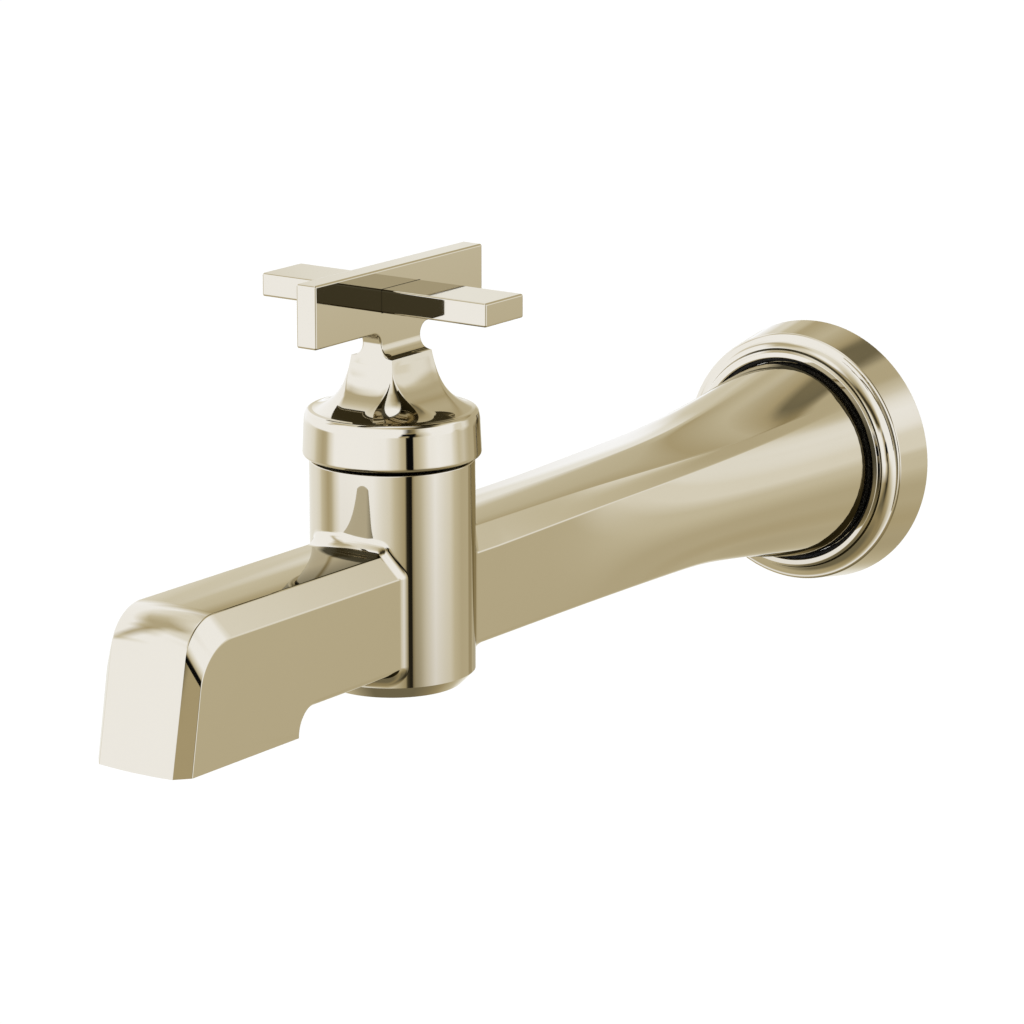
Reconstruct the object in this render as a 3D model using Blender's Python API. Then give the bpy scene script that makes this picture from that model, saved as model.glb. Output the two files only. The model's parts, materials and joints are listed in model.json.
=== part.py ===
"""Wall mounted bath faucet with one cross handle on an upright barrel.

The origin is the centre of the wall flange, in the plane of the wall. The wall is the XZ plane, the spout
runs out along -Y, and +Z is up. The handle turns a quarter turn about the barrel's own upright axis.
Dimensions are in millimetres and are turned into metres as each mesh is made.
"""

import math

import bmesh
import bpy
from mathutils import Vector

MM = 0.001
GAP = 0.3
TO_ROOM = (0.0, -1.0, 0.0)

# Barrel: the upright cylinder that holds the cartridge.
AXIS_Y = -164.3
BARREL_R = 17.0
BARREL_TOP = 29.4
BARREL_BOTTOM = -17.7
BARREL_CHAMFER = 2.8

# Cross-section that the spout and the arm share: flat sides, broad upper chamfers and a low crown.
HALF_WIDTH = 11.76
CHAMFER_IN = 2.65
SIDE_TOP = 8.1
CROWN_EDGE = 13.05
CROWN_RISE = 0.8
UNDERSIDE = -11.75
UNDER_ROUND = 1.3

# Spout nose, measured forward of the barrel's axis.
NOSE_REACH = 83.05
NOSE_BACK = 46.9
NOSE_BOTTOM = -17.05
NOSE_RAKE = math.radians(11.0)
NOSE_ROUND = 9.0
NOSE_CHAMFER = 3.0
OUTLET_REACH = 65.0

# Arm: it flares into a round collar that enters the flange.
COLLAR_R = 22.6
COLLAR_START = 15.2
COLLAR_END = 4.0
FLARE_FROM = 21.0

# Where each key point of the section lands on the round collar, in degrees from +X.
COLLAR_LOWER_CREASE = 40.6
COLLAR_UPPER_CREASE = 45.75
COLLAR_LOWER_CORNER = -52.5
CORNER_SPREAD = 3.0

# How the section grows into the collar, as (distance behind the barrel's axis where growth sets in,
# softness of that onset). Width has one law; height has one for each key angle around the section.
WIDTH_ONSET = (56.0, 12.0)
HEIGHT_ONSETS = (
    (-90.0, 98.5, 7.0), (COLLAR_LOWER_CORNER, 98.5, 7.0), (COLLAR_LOWER_CREASE, 106.5, 80.0),
    (COLLAR_UPPER_CREASE, 112.5, 9.0), (90.0, 110.0, 25.0))

# Wall flange, with the gasket behind it and the seal in its lip.
FLANGE_R = 30.4
FLANGE_LIP_R = 23.6
FLANGE_DEPTH = 13.4
FLANGE_RIM = 9.3
FLANGE_TAPER = 1.5
FLANGE_RECESS_R = 27.6
FLANGE_RECESS_DEPTH = 5.2
COVE_R = 2.9
LIP_SEAL_DEPTH = 11.4
GASKET_INNER_R = 24.3
GASKET_DEPTH = 4.8

# Inlet: a threaded nipple out of the wall, the adapter on it, and the set screw that holds the arm.
NIPPLE_R = 10.45
NIPPLE_BORE_R = 7.6
NIPPLE_IN_WALL = 14.0
NIPPLE_IN_BODY = 26.0
ADAPTER_R = 12.8
ADAPTER_WATER_R = 7.4
ADAPTER_START = 9.0
ADAPTER_END = 33.2
ADAPTER_SHOULDER = 26.4
ADAPTER_GROOVES = (14.0, 28.5)
BODY_SCREW_R = 2.5
BODY_SCREW_DEPTH = 21.0
BODY_SCREW_TOP = -13.2
BODY_SCREW_LENGTH = 6.4
BODY_SCREW_KEY_R = 1.25

# Waterways and seats inside the body.
CARTRIDGE_BORE_R = 13.7
SEAT_Z = 1.0
INLET_CHAMBER_R = 6.6
INLET_CHAMBER_BOTTOM = -10.2
INLET_Z = -4.5
INLET_BORE_R = 5.2
OUTLET_Z = 6.0
OUTLET_BORE_R = 4.6
ADAPTER_BORE_R = 13.2
ADAPTER_BORE_DEPTH = 34.0
AERATOR_BORE_R = 9.4
AERATOR_BORE_TOP = -7.0
DROP_BORE_R = 6.0

# Handle.
RING_BOTTOM = 30.1
RING_R = 18.35
NECK_Z = 51.25
NECK_HALF_X = 5.14
NECK_HALF_Y = 6.73
NECK_REACH = 8.09
BAR_THICK = 4.88
BAR_TALL = 13.0
BAR_LENGTH = 56.4
BAR_MID_Z = 63.05
BAR_EDGE = 0.45
SCOOP_R = 2.95
WEB_FILLET_R = 2.6
HUB_CAVITY_R = 15.5
HUB_CAVITY_TOP = 34.4
SPLINE_BORE_R = 5.6
SPLINE_BORE_TOP = 45.4
HANDLE_SCREW_Z = 37.0
HANDLE_SCREW_R = 1.6
HANDLE_SCREW_START = 5.7
HANDLE_SCREW_END = 16.4
HANDLE_SCREW_KEY_R = 0.9

# Cartridge: housing, two ceramic discs with a pair of ports each, stem and retaining nut.
CARTRIDGE_R = 13.3
CARTRIDGE_FOOT_R = 11.0
CARTRIDGE_ROOM_R = 9.7
CARTRIDGE_FOOT = 3.3
CARTRIDGE_TOP = 23.9
WINDOW_LOW = 7.4
WINDOW_HIGH = 12.4
WINDOW_HALF = 4.2
DISC_R = 9.3
DISC_THICK = 3.0
DISC_FIXED_Z = 3.4
PORT_R = 2.6
PORT_SPREAD = 4.6
STEM_R = 4.5
STEM_FOOT_R = 9.2
STEM_GROOVE_R = 3.5
STEM_SPLINE_R = 4.0
STEM_TOP = 44.2
STEM_SEALS = (("stem_o_ring_lower", 18.1), ("stem_o_ring_upper", 21.3))
CLIP_OUTER_R = 6.4
CLIP_INNER_R = 4.0
CLIP_MOUTH = 25.0
NUT_INNER_R = 8.0
NUT_LOW = 24.3
NUT_HIGH = 29.1
NUT_KEY_R = 1.3
NUT_KEY_SPREAD = 10.6
GLIDE_INNER_R = 13.9
GLIDE_OUTER_R = 15.2
GLIDE_TOP = 31.6
SPLINE_INSERT_R = 5.3
SPLINE_INSERT_LOW = 32.6
SPLINE_INSERT_HIGH = 45.0

# Aerator: an insert of stacked discs in a turned shell, in the spout's outlet.
AERATOR_R = 9.1
AERATOR_INNER_R = 8.2
AERATOR_PLATE_R = 7.9
AERATOR_LOW = -16.8
AERATOR_HIGH = -8.9

EDGE = 0.3
ROUND_STEPS = 48
RING_STEPS = 28
SMALL_STEPS = 20

NICKEL = ((0.62, 0.56, 0.45), 0.12, 1.0)
BRASS = ((0.66, 0.48, 0.22), 0.3, 1.0)
STEEL = ((0.55, 0.56, 0.57), 0.25, 1.0)
RUBBER = ((0.02, 0.02, 0.02), 0.7, 0.0)
CERAMIC = ((0.85, 0.84, 0.8), 0.35, 0.0)
WHITE_PLASTIC = ((0.75, 0.75, 0.73), 0.45, 0.0)
GREY_PLASTIC = ((0.25, 0.26, 0.27), 0.5, 0.0)
BLACK_PLASTIC = ((0.03, 0.03, 0.03), 0.45, 0.0)


def clear_scene():
    for obj in list(bpy.data.objects):
        bpy.data.objects.remove(obj, do_unlink=True)


def material(name, look):
    colour, roughness, metallic = look
    made = bpy.data.materials.new(name)
    made.use_nodes = True
    shader = made.node_tree.nodes["Principled BSDF"]
    shader.inputs["Base Color"].default_value = (*colour, 1.0)
    shader.inputs["Roughness"].default_value = roughness
    shader.inputs["Metallic"].default_value = metallic
    return made


def finish(name, bm, look, parent=None, smooth=True):
    """Turns a bmesh in millimetres into a named object in metres, and shades its round faces smooth."""
    bmesh.ops.remove_doubles(bm, verts=bm.verts, dist=0.0005)
    bmesh.ops.recalc_face_normals(bm, faces=bm.faces)
    bmesh.ops.scale(bm, vec=(MM, MM, MM), verts=bm.verts)
    mesh = bpy.data.meshes.new(name)
    bm.to_mesh(mesh)
    bm.free()
    obj = bpy.data.objects.new(name, mesh)
    bpy.context.scene.collection.objects.link(obj)
    if look:
        mesh.materials.append(material(name, look))
    if smooth:
        mesh.shade_smooth()
        mesh.set_sharp_from_angle(angle=math.radians(30))
    if parent:
        obj.parent = parent
        mesh.transform(parent.matrix_world.inverted())
    return obj


def cutter(name, bm):
    obj = finish(name, bm, None, smooth=False)
    obj.hide_render = True
    obj.display_type = "WIRE"
    return obj


def boolean(target, other, operation="DIFFERENCE"):
    modifier = target.modifiers.new(other.name, "BOOLEAN")
    modifier.operation = operation
    modifier.solver = "EXACT"
    modifier.object = other


def lathe(profile, steps, centre=(0.0, 0.0, 0.0), axis=(0.0, 0.0, 1.0)):
    """Spins a closed profile of (radius, height) about an axis; height runs along it from the centre."""
    axis = Vector(axis)
    side = Vector((1.0, 0.0, 0.0)) if abs(axis.x) < 0.5 else Vector((0.0, 1.0, 0.0))
    centre = Vector(centre)
    bm = bmesh.new()
    verts = [bm.verts.new(centre + side * radius + axis * height) for radius, height in profile]
    edges = [bm.edges.new((verts[i - 1], verts[i])) for i in range(len(verts))]
    bmesh.ops.spin(bm, geom=verts + edges, cent=centre, axis=axis, angle=math.tau, steps=steps)
    bmesh.ops.remove_doubles(bm, verts=bm.verts, dist=0.0005)
    loose = [edge for edge in bm.edges if not edge.link_faces]
    bmesh.ops.delete(bm, geom=loose, context="EDGES")
    bmesh.ops.recalc_face_normals(bm, faces=bm.faces)
    return bm


def tube(inner, outer, low, high):
    return [(outer, low), (outer, high), (inner, high), (inner, low)]


def rod(radius, low, high):
    return [(0.0, low), (radius, low), (radius, high), (0.0, high)]


def ring_circle(radius, thickness, height, points=6):
    """Profile of an O-ring: a small circle at a radius from the axis."""
    turns = [math.tau * i / points for i in range(points)]
    return [(radius + thickness * math.cos(t), height + thickness * math.sin(t)) for t in turns]


def loft(sections):
    """Joins equal-length outlines of points into one closed skin, with a flat face over each end."""
    bm = bmesh.new()
    rings = [[bm.verts.new(point) for point in section] for section in sections]
    for lower, upper in zip(rings, rings[1:]):
        for i in range(len(lower)):
            bm.faces.new((lower[i - 1], lower[i], upper[i], upper[i - 1]))
    bm.faces.new(rings[0])
    bm.faces.new(reversed(rings[-1]))
    bmesh.ops.recalc_face_normals(bm, faces=bm.faces)
    return bm


def arc(centre, radius, start, end, steps):
    """Points of a plane arc from one angle to another, in degrees, both ends included."""
    angles = [math.radians(start + (end - start) * i / steps) for i in range(steps + 1)]
    return [(centre[0] + radius * math.cos(a), centre[1] + radius * math.sin(a)) for a in angles]


def box(low, high, edge=0.0):
    bm = bmesh.new()
    bmesh.ops.create_cube(bm, size=1.0)
    size = [b - a for a, b in zip(low, high)]
    bmesh.ops.scale(bm, vec=size, verts=bm.verts)
    bmesh.ops.translate(bm, vec=[(a + b) / 2 for a, b in zip(low, high)], verts=bm.verts)
    if edge:
        bmesh.ops.bevel(bm, geom=bm.edges, offset=edge, segments=2, profile=0.5, affect="EDGES")
    return bm


def barrel_point(x, forward, z):
    """A point given forward of the barrel's axis, which is towards the spout's nose."""
    return (x, AXIS_Y - forward, z)


def side_outline(x):
    """The spout's outline, seen from its side, on the plane that stands x from the middle."""
    into_chamfer = max(0.0, (abs(x) - (HALF_WIDTH - CHAMFER_IN)) / CHAMFER_IN)
    into_crown = 1.0 - min(1.0, abs(x) / (HALF_WIDTH - CHAMFER_IN)) ** 2
    top = CROWN_EDGE + CROWN_RISE * into_crown - (CROWN_EDGE - SIDE_TOP) * into_chamfer
    reach = NOSE_REACH + CROWN_RISE * into_crown - NOSE_CHAMFER * into_chamfer
    past_round = max(0.0, abs(x) - (HALF_WIDTH - UNDER_ROUND))
    lift = UNDER_ROUND - math.sqrt(max(0.0, UNDER_ROUND**2 - past_round**2))
    under = UNDERSIDE + lift
    corner = reach - (top - NOSE_BOTTOM) * math.tan(NOSE_RAKE)
    turn = math.pi / 2 - NOSE_RAKE
    tangent = NOSE_ROUND * math.tan(turn / 2)
    nose = arc((corner - tangent, top - NOSE_ROUND), NOSE_ROUND, 90.0, 90.0 - math.degrees(turn), 8)
    throat_r = under - NOSE_BOTTOM
    throat = arc((NOSE_BACK - throat_r, NOSE_BOTTOM), throat_r, 0.0, 90.0, 5)
    outline = [(1.0, top)] + nose + [(reach, NOSE_BOTTOM)] + throat + [(1.0, under)]
    return [barrel_point(x, forward, z) for forward, z in outline]


def spout_solid():
    flat = HALF_WIDTH - CHAMFER_IN
    rounding = [HALF_WIDTH - UNDER_ROUND * (1 - math.sin(math.radians(a))) for a in (0, 35, 65)]
    half = [flat * i / 4 for i in range(5)] + rounding + [HALF_WIDTH]
    stations = [-x for x in reversed(half[1:])] + half
    return loft([side_outline(x) for x in stations])


def blend(low, high, share):
    return low + (high - low) * share


def section_half():
    """Right half of the section, from the middle of its underside to its crown, each point with its angle."""
    corner = HALF_WIDTH - UNDER_ROUND
    low = UNDERSIDE + UNDER_ROUND
    before, after = COLLAR_LOWER_CORNER - CORNER_SPREAD, COLLAR_LOWER_CORNER + CORNER_SPREAD
    points = [(corner * t, UNDERSIDE, blend(-90.0, before, t)) for t in (0.0, 0.25, 0.5, 0.75)]
    for i, (x, z) in enumerate(arc((corner, low), UNDER_ROUND, -90.0, 0.0, 3)):
        points.append((x, z, blend(before, after, i / 3)))
    for t in (0.2, 0.4, 0.6, 0.8, 1.0):
        points.append((HALF_WIDTH, blend(low, SIDE_TOP, t), blend(after, COLLAR_LOWER_CREASE, t)))
    flat = HALF_WIDTH - CHAMFER_IN
    for t in (0.0, 0.25, 0.5, 0.75, 1.0):
        z = CROWN_EDGE + CROWN_RISE * (1 - (1 - t) ** 2)
        points.append((flat * (1 - t), z, blend(COLLAR_UPPER_CREASE, 90.0, t)))
    return points


def grown(back, onset, softness):
    """Share of the way to the collar, 0 near the barrel and 1 at the collar: a bent, nearly straight ramp."""
    def ramp(at):
        return at - onset + math.hypot(at - onset, softness)
    reach = -AXIS_Y - COLLAR_START
    return (ramp(back) - ramp(FLARE_FROM)) / (ramp(reach) - ramp(FLARE_FROM))


def height_onset(angle):
    """Onset and softness of the height's growth at an angle around the right half of the section."""
    for (low, onset_a, soft_a), (high, onset_b, soft_b) in zip(HEIGHT_ONSETS, HEIGHT_ONSETS[1:]):
        if angle <= high:
            share = (angle - low) / (high - low)
            return blend(onset_a, onset_b, share), blend(soft_a, soft_b, share)
    return HEIGHT_ONSETS[-1][1:]


def arm_section(back):
    widening = grown(back, *WIDTH_ONSET)
    half = []
    for x, z, angle in section_half():
        heightening = grown(back, *height_onset(angle))
        turn = math.radians(angle)
        x = blend(x, COLLAR_R * math.cos(turn), max(0.0, widening))
        z = blend(z, COLLAR_R * math.sin(turn), max(0.0, heightening))
        half.append((x, AXIS_Y + back, z))
    return half + [(-x, y, z) for x, y, z in reversed(half[1:-1])]


def arm_solid():
    reach = -AXIS_Y - COLLAR_START
    stations = [1.0, FLARE_FROM] + [blend(FLARE_FROM, reach, i / 13) for i in range(1, 14)]
    collar_end = [(x, -COLLAR_END, z) for x, y, z in arm_section(reach)]
    return loft([arm_section(back) for back in stations] + [collar_end])


def make_body():
    barrel = lathe(
        [(0.0, BARREL_BOTTOM), (BARREL_R - BARREL_CHAMFER, BARREL_BOTTOM),
         (BARREL_R, BARREL_BOTTOM + BARREL_CHAMFER), (BARREL_R, BARREL_TOP - EDGE),
         (BARREL_R - EDGE, BARREL_TOP), (0.0, BARREL_TOP)],
        ROUND_STEPS, (0.0, AXIS_Y, 0.0))
    body = finish("body", barrel, NICKEL)
    boolean(body, cutter("spout_shape", spout_solid()), "UNION")
    boolean(body, cutter("arm_shape", arm_solid()), "UNION")
    axis = (0.0, AXIS_Y, 0.0)
    bore = lathe(
        [(0.0, INLET_CHAMBER_BOTTOM), (INLET_CHAMBER_R, INLET_CHAMBER_BOTTOM), (INLET_CHAMBER_R, SEAT_Z),
         (CARTRIDGE_BORE_R, SEAT_Z), (CARTRIDGE_BORE_R, BARREL_TOP + 1), (0.0, BARREL_TOP + 1)],
        ROUND_STEPS, axis)
    boolean(body, cutter("cartridge_bore", bore))
    inlet = lathe(rod(INLET_BORE_R, INLET_CHAMBER_R / 2, -AXIS_Y - ADAPTER_BORE_DEPTH + 2), SMALL_STEPS,
                  (0.0, AXIS_Y, INLET_Z), (0.0, 1.0, 0.0))
    boolean(body, cutter("inlet_waterway", inlet))
    socket = lathe(rod(ADAPTER_BORE_R, -ADAPTER_BORE_DEPTH, 0.0), ROUND_STEPS, axis=(0.0, 1.0, 0.0))
    boolean(body, cutter("adapter_socket", socket))
    outlet = lathe(rod(OUTLET_BORE_R, CARTRIDGE_BORE_R - 2.0, OUTLET_REACH), SMALL_STEPS,
                   (0.0, AXIS_Y, OUTLET_Z), (0.0, -1.0, 0.0))
    boolean(body, cutter("outlet_waterway", outlet))
    drop = lathe(
        [(0.0, NOSE_BOTTOM - 1), (AERATOR_BORE_R, NOSE_BOTTOM - 1), (AERATOR_BORE_R, AERATOR_BORE_TOP),
         (DROP_BORE_R, AERATOR_BORE_TOP), (DROP_BORE_R, OUTLET_Z + 2.5), (0.0, OUTLET_Z + 2.5)],
        RING_STEPS, barrel_point(0.0, OUTLET_REACH, 0.0))
    boolean(body, cutter("outlet_drop", drop))
    hole = lathe(rod(BODY_SCREW_R + GAP, -COLLAR_R - 2, -ADAPTER_BORE_R + 1), SMALL_STEPS,
                 (0.0, -BODY_SCREW_DEPTH, 0.0))
    boolean(body, cutter("body_screw_hole", hole))


def make_flange():
    rim_r = FLANGE_R - FLANGE_TAPER
    lip_outer_r = rim_r - 0.4 - COVE_R
    cove = arc((rim_r - 0.4, FLANGE_RIM + 0.7 + COVE_R), COVE_R, 270.0, 180.0, 5)
    groove_r = FLANGE_LIP_R + 0.9
    profile = [(FLANGE_R, 0.0), (rim_r, FLANGE_RIM), (rim_r - 0.25, FLANGE_RIM + 0.5)] + cove + [
        (lip_outer_r - 0.5, FLANGE_DEPTH - 0.25), (lip_outer_r - 0.8, FLANGE_DEPTH),
        (FLANGE_LIP_R + 0.2, FLANGE_DEPTH), (FLANGE_LIP_R, FLANGE_DEPTH - 0.2),
        (FLANGE_LIP_R, LIP_SEAL_DEPTH + 0.9), (groove_r, LIP_SEAL_DEPTH + 0.9),
        (groove_r, LIP_SEAL_DEPTH - 0.9), (FLANGE_LIP_R, LIP_SEAL_DEPTH - 0.9),
        (FLANGE_LIP_R, FLANGE_RECESS_DEPTH), (FLANGE_RECESS_R, FLANGE_RECESS_DEPTH), (FLANGE_RECESS_R, 0.0)]
    finish("wall_flange", lathe(profile, ROUND_STEPS, axis=TO_ROOM), NICKEL)
    gasket = lathe(tube(GASKET_INNER_R, FLANGE_RECESS_R - 0.4, 0.0, GASKET_DEPTH), RING_STEPS, axis=TO_ROOM)
    finish("wall_gasket", gasket, RUBBER)
    seal = lathe(ring_circle(FLANGE_LIP_R, 0.55, LIP_SEAL_DEPTH), RING_STEPS, axis=TO_ROOM)
    finish("flange_o_ring", seal, RUBBER)


def make_inlet():
    chamfer_r = NIPPLE_R - 0.6
    profile = [
        (chamfer_r, -NIPPLE_IN_WALL), (NIPPLE_R, -NIPPLE_IN_WALL + 0.8), (NIPPLE_R, NIPPLE_IN_BODY - 0.8),
        (chamfer_r, NIPPLE_IN_BODY), (NIPPLE_BORE_R, NIPPLE_IN_BODY), (NIPPLE_BORE_R, -NIPPLE_IN_WALL)]
    finish("inlet_nipple", lathe(profile, RING_STEPS, axis=TO_ROOM), BRASS)
    outer = [(ADAPTER_R, ADAPTER_START)]
    for groove in ADAPTER_GROOVES:
        outer += [(ADAPTER_R, groove - 0.9), (ADAPTER_R - 1.2, groove - 0.9),
                  (ADAPTER_R - 1.2, groove + 0.9), (ADAPTER_R, groove + 0.9)]
    outer += [(ADAPTER_R, ADAPTER_END - 1.2), (ADAPTER_R - 0.8, ADAPTER_END), (ADAPTER_WATER_R, ADAPTER_END),
              (ADAPTER_WATER_R, ADAPTER_SHOULDER), (NIPPLE_R + GAP, ADAPTER_SHOULDER),
              (NIPPLE_R + GAP, ADAPTER_START)]
    finish("inlet_adapter", lathe(outer, RING_STEPS, axis=TO_ROOM), BRASS)
    for name, groove in zip(("adapter_o_ring_rear", "adapter_o_ring_front"), ADAPTER_GROOVES):
        seal = lathe(ring_circle(ADAPTER_R - 0.35, 0.5, groove), RING_STEPS, axis=TO_ROOM)
        finish(name, seal, RUBBER)
    centre = (0.0, -BODY_SCREW_DEPTH, 0.0)
    foot = BODY_SCREW_TOP - BODY_SCREW_LENGTH
    screw = finish("body_set_screw", lathe(rod(BODY_SCREW_R, foot, BODY_SCREW_TOP), 16, centre), STEEL)
    boolean(screw, cutter("body_screw_key", hexagon(BODY_SCREW_KEY_R, foot - 1, foot + 2.4, centre)))


def hexagon(radius, low, high, centre, axis=(0.0, 0.0, 1.0)):
    return lathe(rod(radius, low, high), 6, centre, axis)


def make_cartridge(turning):
    axis = (0.0, AXIS_Y, 0.0)
    housing = [
        (CARTRIDGE_FOOT_R, CARTRIDGE_FOOT), (CARTRIDGE_FOOT_R, 14.0), (CARTRIDGE_R, 14.6),
        (CARTRIDGE_R, 17.2), (CARTRIDGE_R - 1.2, 17.2), (CARTRIDGE_R - 1.2, 19.2), (CARTRIDGE_R, 19.2),
        (CARTRIDGE_R, CARTRIDGE_TOP),
        (STEM_R + 0.4, CARTRIDGE_TOP), (STEM_R + 0.4, 16.6), (CARTRIDGE_ROOM_R, 16.6),
        (CARTRIDGE_ROOM_R, CARTRIDGE_FOOT)]
    housing = finish("cartridge_housing", lathe(housing, RING_STEPS, axis), BRASS)
    boolean(housing, cutter("cartridge_windows", box(
        (-CARTRIDGE_R, AXIS_Y - WINDOW_HALF, WINDOW_LOW), (CARTRIDGE_R, AXIS_Y + WINDOW_HALF, WINDOW_HIGH))))
    boolean(housing, cutter("cartridge_port", box(
        (-WINDOW_HALF, AXIS_Y - CARTRIDGE_R, WINDOW_LOW), (WINDOW_HALF, AXIS_Y, WINDOW_HIGH))))
    finish("seat_seal", lathe(tube(7.0, 10.4, SEAT_Z + GAP, CARTRIDGE_FOOT - GAP), RING_STEPS, axis), RUBBER)
    make_discs(axis, turning)
    make_stem(axis, turning)
    finish("thrust_washer", lathe(tube(5.0, STEM_FOOT_R, 13.4, 16.2), SMALL_STEPS, axis), WHITE_PLASTIC)
    finish("cartridge_o_ring", lathe(ring_circle(CARTRIDGE_R - 0.45, 0.5, 18.2), RING_STEPS, axis), RUBBER)
    nut = [(CARTRIDGE_R, NUT_LOW), (CARTRIDGE_R, NUT_HIGH - 0.5), (CARTRIDGE_R - 0.5, NUT_HIGH),
           (NUT_INNER_R, NUT_HIGH), (NUT_INNER_R, NUT_LOW)]
    nut = finish("cartridge_nut", lathe(nut, RING_STEPS, axis), BRASS)
    for i in range(4):
        spot = around_axis(NUT_KEY_SPREAD, math.tau * (i + 0.5) / 4)
        boolean(nut, cutter(f"nut_key_{i}", lathe(rod(NUT_KEY_R, NUT_HIGH - 2, NUT_HIGH + 2), 10, spot)))
    glide = lathe(tube(GLIDE_INNER_R, GLIDE_OUTER_R, BARREL_TOP + GAP, GLIDE_TOP), RING_STEPS, axis)
    finish("glide_ring", glide, BLACK_PLASTIC)


def around_axis(radius, turn):
    """A point on a circle about the barrel's axis."""
    return (radius * math.cos(turn), AXIS_Y + radius * math.sin(turn), 0.0)


def make_discs(axis, turning):
    moving_z = DISC_FIXED_Z + DISC_THICK + GAP
    fixed = lathe(rod(DISC_R, DISC_FIXED_Z, DISC_FIXED_Z + DISC_THICK), RING_STEPS, axis)
    fixed = finish("ceramic_disc_fixed", fixed, CERAMIC)
    moving = lathe(rod(DISC_R, moving_z, moving_z + DISC_THICK), RING_STEPS, axis)
    moving = finish("ceramic_disc_moving", moving, CERAMIC, turning)
    for i in range(2):
        port = lathe(rod(PORT_R, 0.0, WINDOW_HIGH), 12, around_axis(PORT_SPREAD, math.pi * i))
        boolean(fixed, cutter(f"disc_port_{i}", port))
        slot = lathe(rod(PORT_R, 0.0, WINDOW_HIGH), 12, around_axis(PORT_SPREAD, math.pi * (i + 0.5)))
        boolean(moving, cutter(f"disc_slot_{i}", slot))


def make_stem(axis, turning):
    foot = DISC_FIXED_Z + 2 * (DISC_THICK + GAP)
    profile = [(0.0, foot), (STEM_FOOT_R, foot), (STEM_FOOT_R, 12.6), (STEM_R, 13.0)]
    for name, height in STEM_SEALS:
        profile += [(STEM_R, height - 0.7), (STEM_GROOVE_R, height - 0.7), (STEM_GROOVE_R, height + 0.7),
                    (STEM_R, height + 0.7)]
        finish(name, lathe(ring_circle(STEM_R - 0.32, 0.38, height), SMALL_STEPS, axis), RUBBER, turning)
    clip_groove_r = CLIP_INNER_R - GAP
    profile += [
        (STEM_R, 24.3), (clip_groove_r, 24.3), (clip_groove_r, 25.5), (STEM_R, 25.5), (STEM_R, 30.0),
        (STEM_SPLINE_R, 30.6), (STEM_SPLINE_R, STEM_TOP - 0.6), (STEM_SPLINE_R - 0.5, STEM_TOP),
        (0.0, STEM_TOP)]
    stem = finish("cartridge_stem", lathe(profile, SMALL_STEPS, axis), BRASS, turning)
    for i in range(2):
        notch = lathe(rod(PORT_R, 8.0, 13.4), 12, around_axis(STEM_FOOT_R - 1.6, math.pi * (i + 0.5)))
        boolean(stem, cutter(f"stem_notch_{i}", notch))
    finish("stem_clip", clip_ring(), STEEL, turning)


def clip_ring():
    """Open spring ring in the stem's top groove: a flat ring with a mouth, built from its two edges."""
    outline = arc((0, AXIS_Y), CLIP_OUTER_R, CLIP_MOUTH, 360 - CLIP_MOUTH, 20)
    outline += arc((0, AXIS_Y), CLIP_INNER_R, 360 - CLIP_MOUTH, CLIP_MOUTH, 20)
    return loft([[(x, y, z) for x, y in outline] for z in (24.5, 25.3)])


def oval_point(turn, half_x, half_y, roundness, radius):
    """A point at an angle on an outline between a rectangle (roundness 0) and a circle (roundness 1)."""
    c, s = math.cos(turn), math.sin(turn)
    stretch = 1.0 / max(abs(c), abs(s))
    x, y = half_x * c * stretch, half_y * s * stretch
    return x + (radius * c - x) * roundness, y + (radius * s - y) * roundness


def hub_sections():
    """Stack of outlines from the skirt's lower edge, up the trumpet and the web, to the top of the blade.
    Each is its half sizes, how round it is, its radius where round, and its height."""
    levels = [(17.5, RING_BOTTOM, 1.0), (18.1, 30.35, 1.0), (RING_R, 30.9, 1.0), (18.3, 33.0, 1.0),
              (18.0, 37.9, 1.0), (17.5, 39.0, 1.0), (16.9, 39.6, 1.0)]
    trumpet = arc((16.3, 47.6), 7.6, 270.0, 180.0, 9)
    for i, (reach, z) in enumerate(trumpet):
        levels.append((reach, z, 1.0 - min(1.0, i / 8) ** 1.5))
    levels.append((NECK_REACH, NECK_Z, 0.0))
    sections = []
    for reach, z, roundness in levels:
        grow = reach / NECK_REACH
        sections.append((NECK_HALF_X * grow, NECK_HALF_Y * grow, roundness, reach, z))
    half = BAR_THICK / 2
    for x, z in arc((half + SCOOP_R, NECK_Z + SCOOP_R), SCOOP_R, 250.0, 180.0, 4):
        sections.append((x, NECK_HALF_Y, 0.0, 0.0, z))
    blade_bottom = BAR_MID_Z - BAR_TALL / 2
    for y, z in arc((NECK_HALF_Y + WEB_FILLET_R, blade_bottom - WEB_FILLET_R), WEB_FILLET_R, 180.0, 90.0, 4):
        if z > sections[-1][-1] + EDGE / 2:
            sections.append((half, y, 0.0, 0.0, z))
    top = BAR_MID_Z + BAR_TALL / 2
    for inset, z in ((BAR_EDGE, blade_bottom), (0.0, blade_bottom + BAR_EDGE), (0.0, top - BAR_EDGE),
                     (BAR_EDGE, top)):
        sections.append((half - inset * 0.5, BAR_LENGTH / 2 - inset, 0.0, 0.0, z))
    return sections


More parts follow.
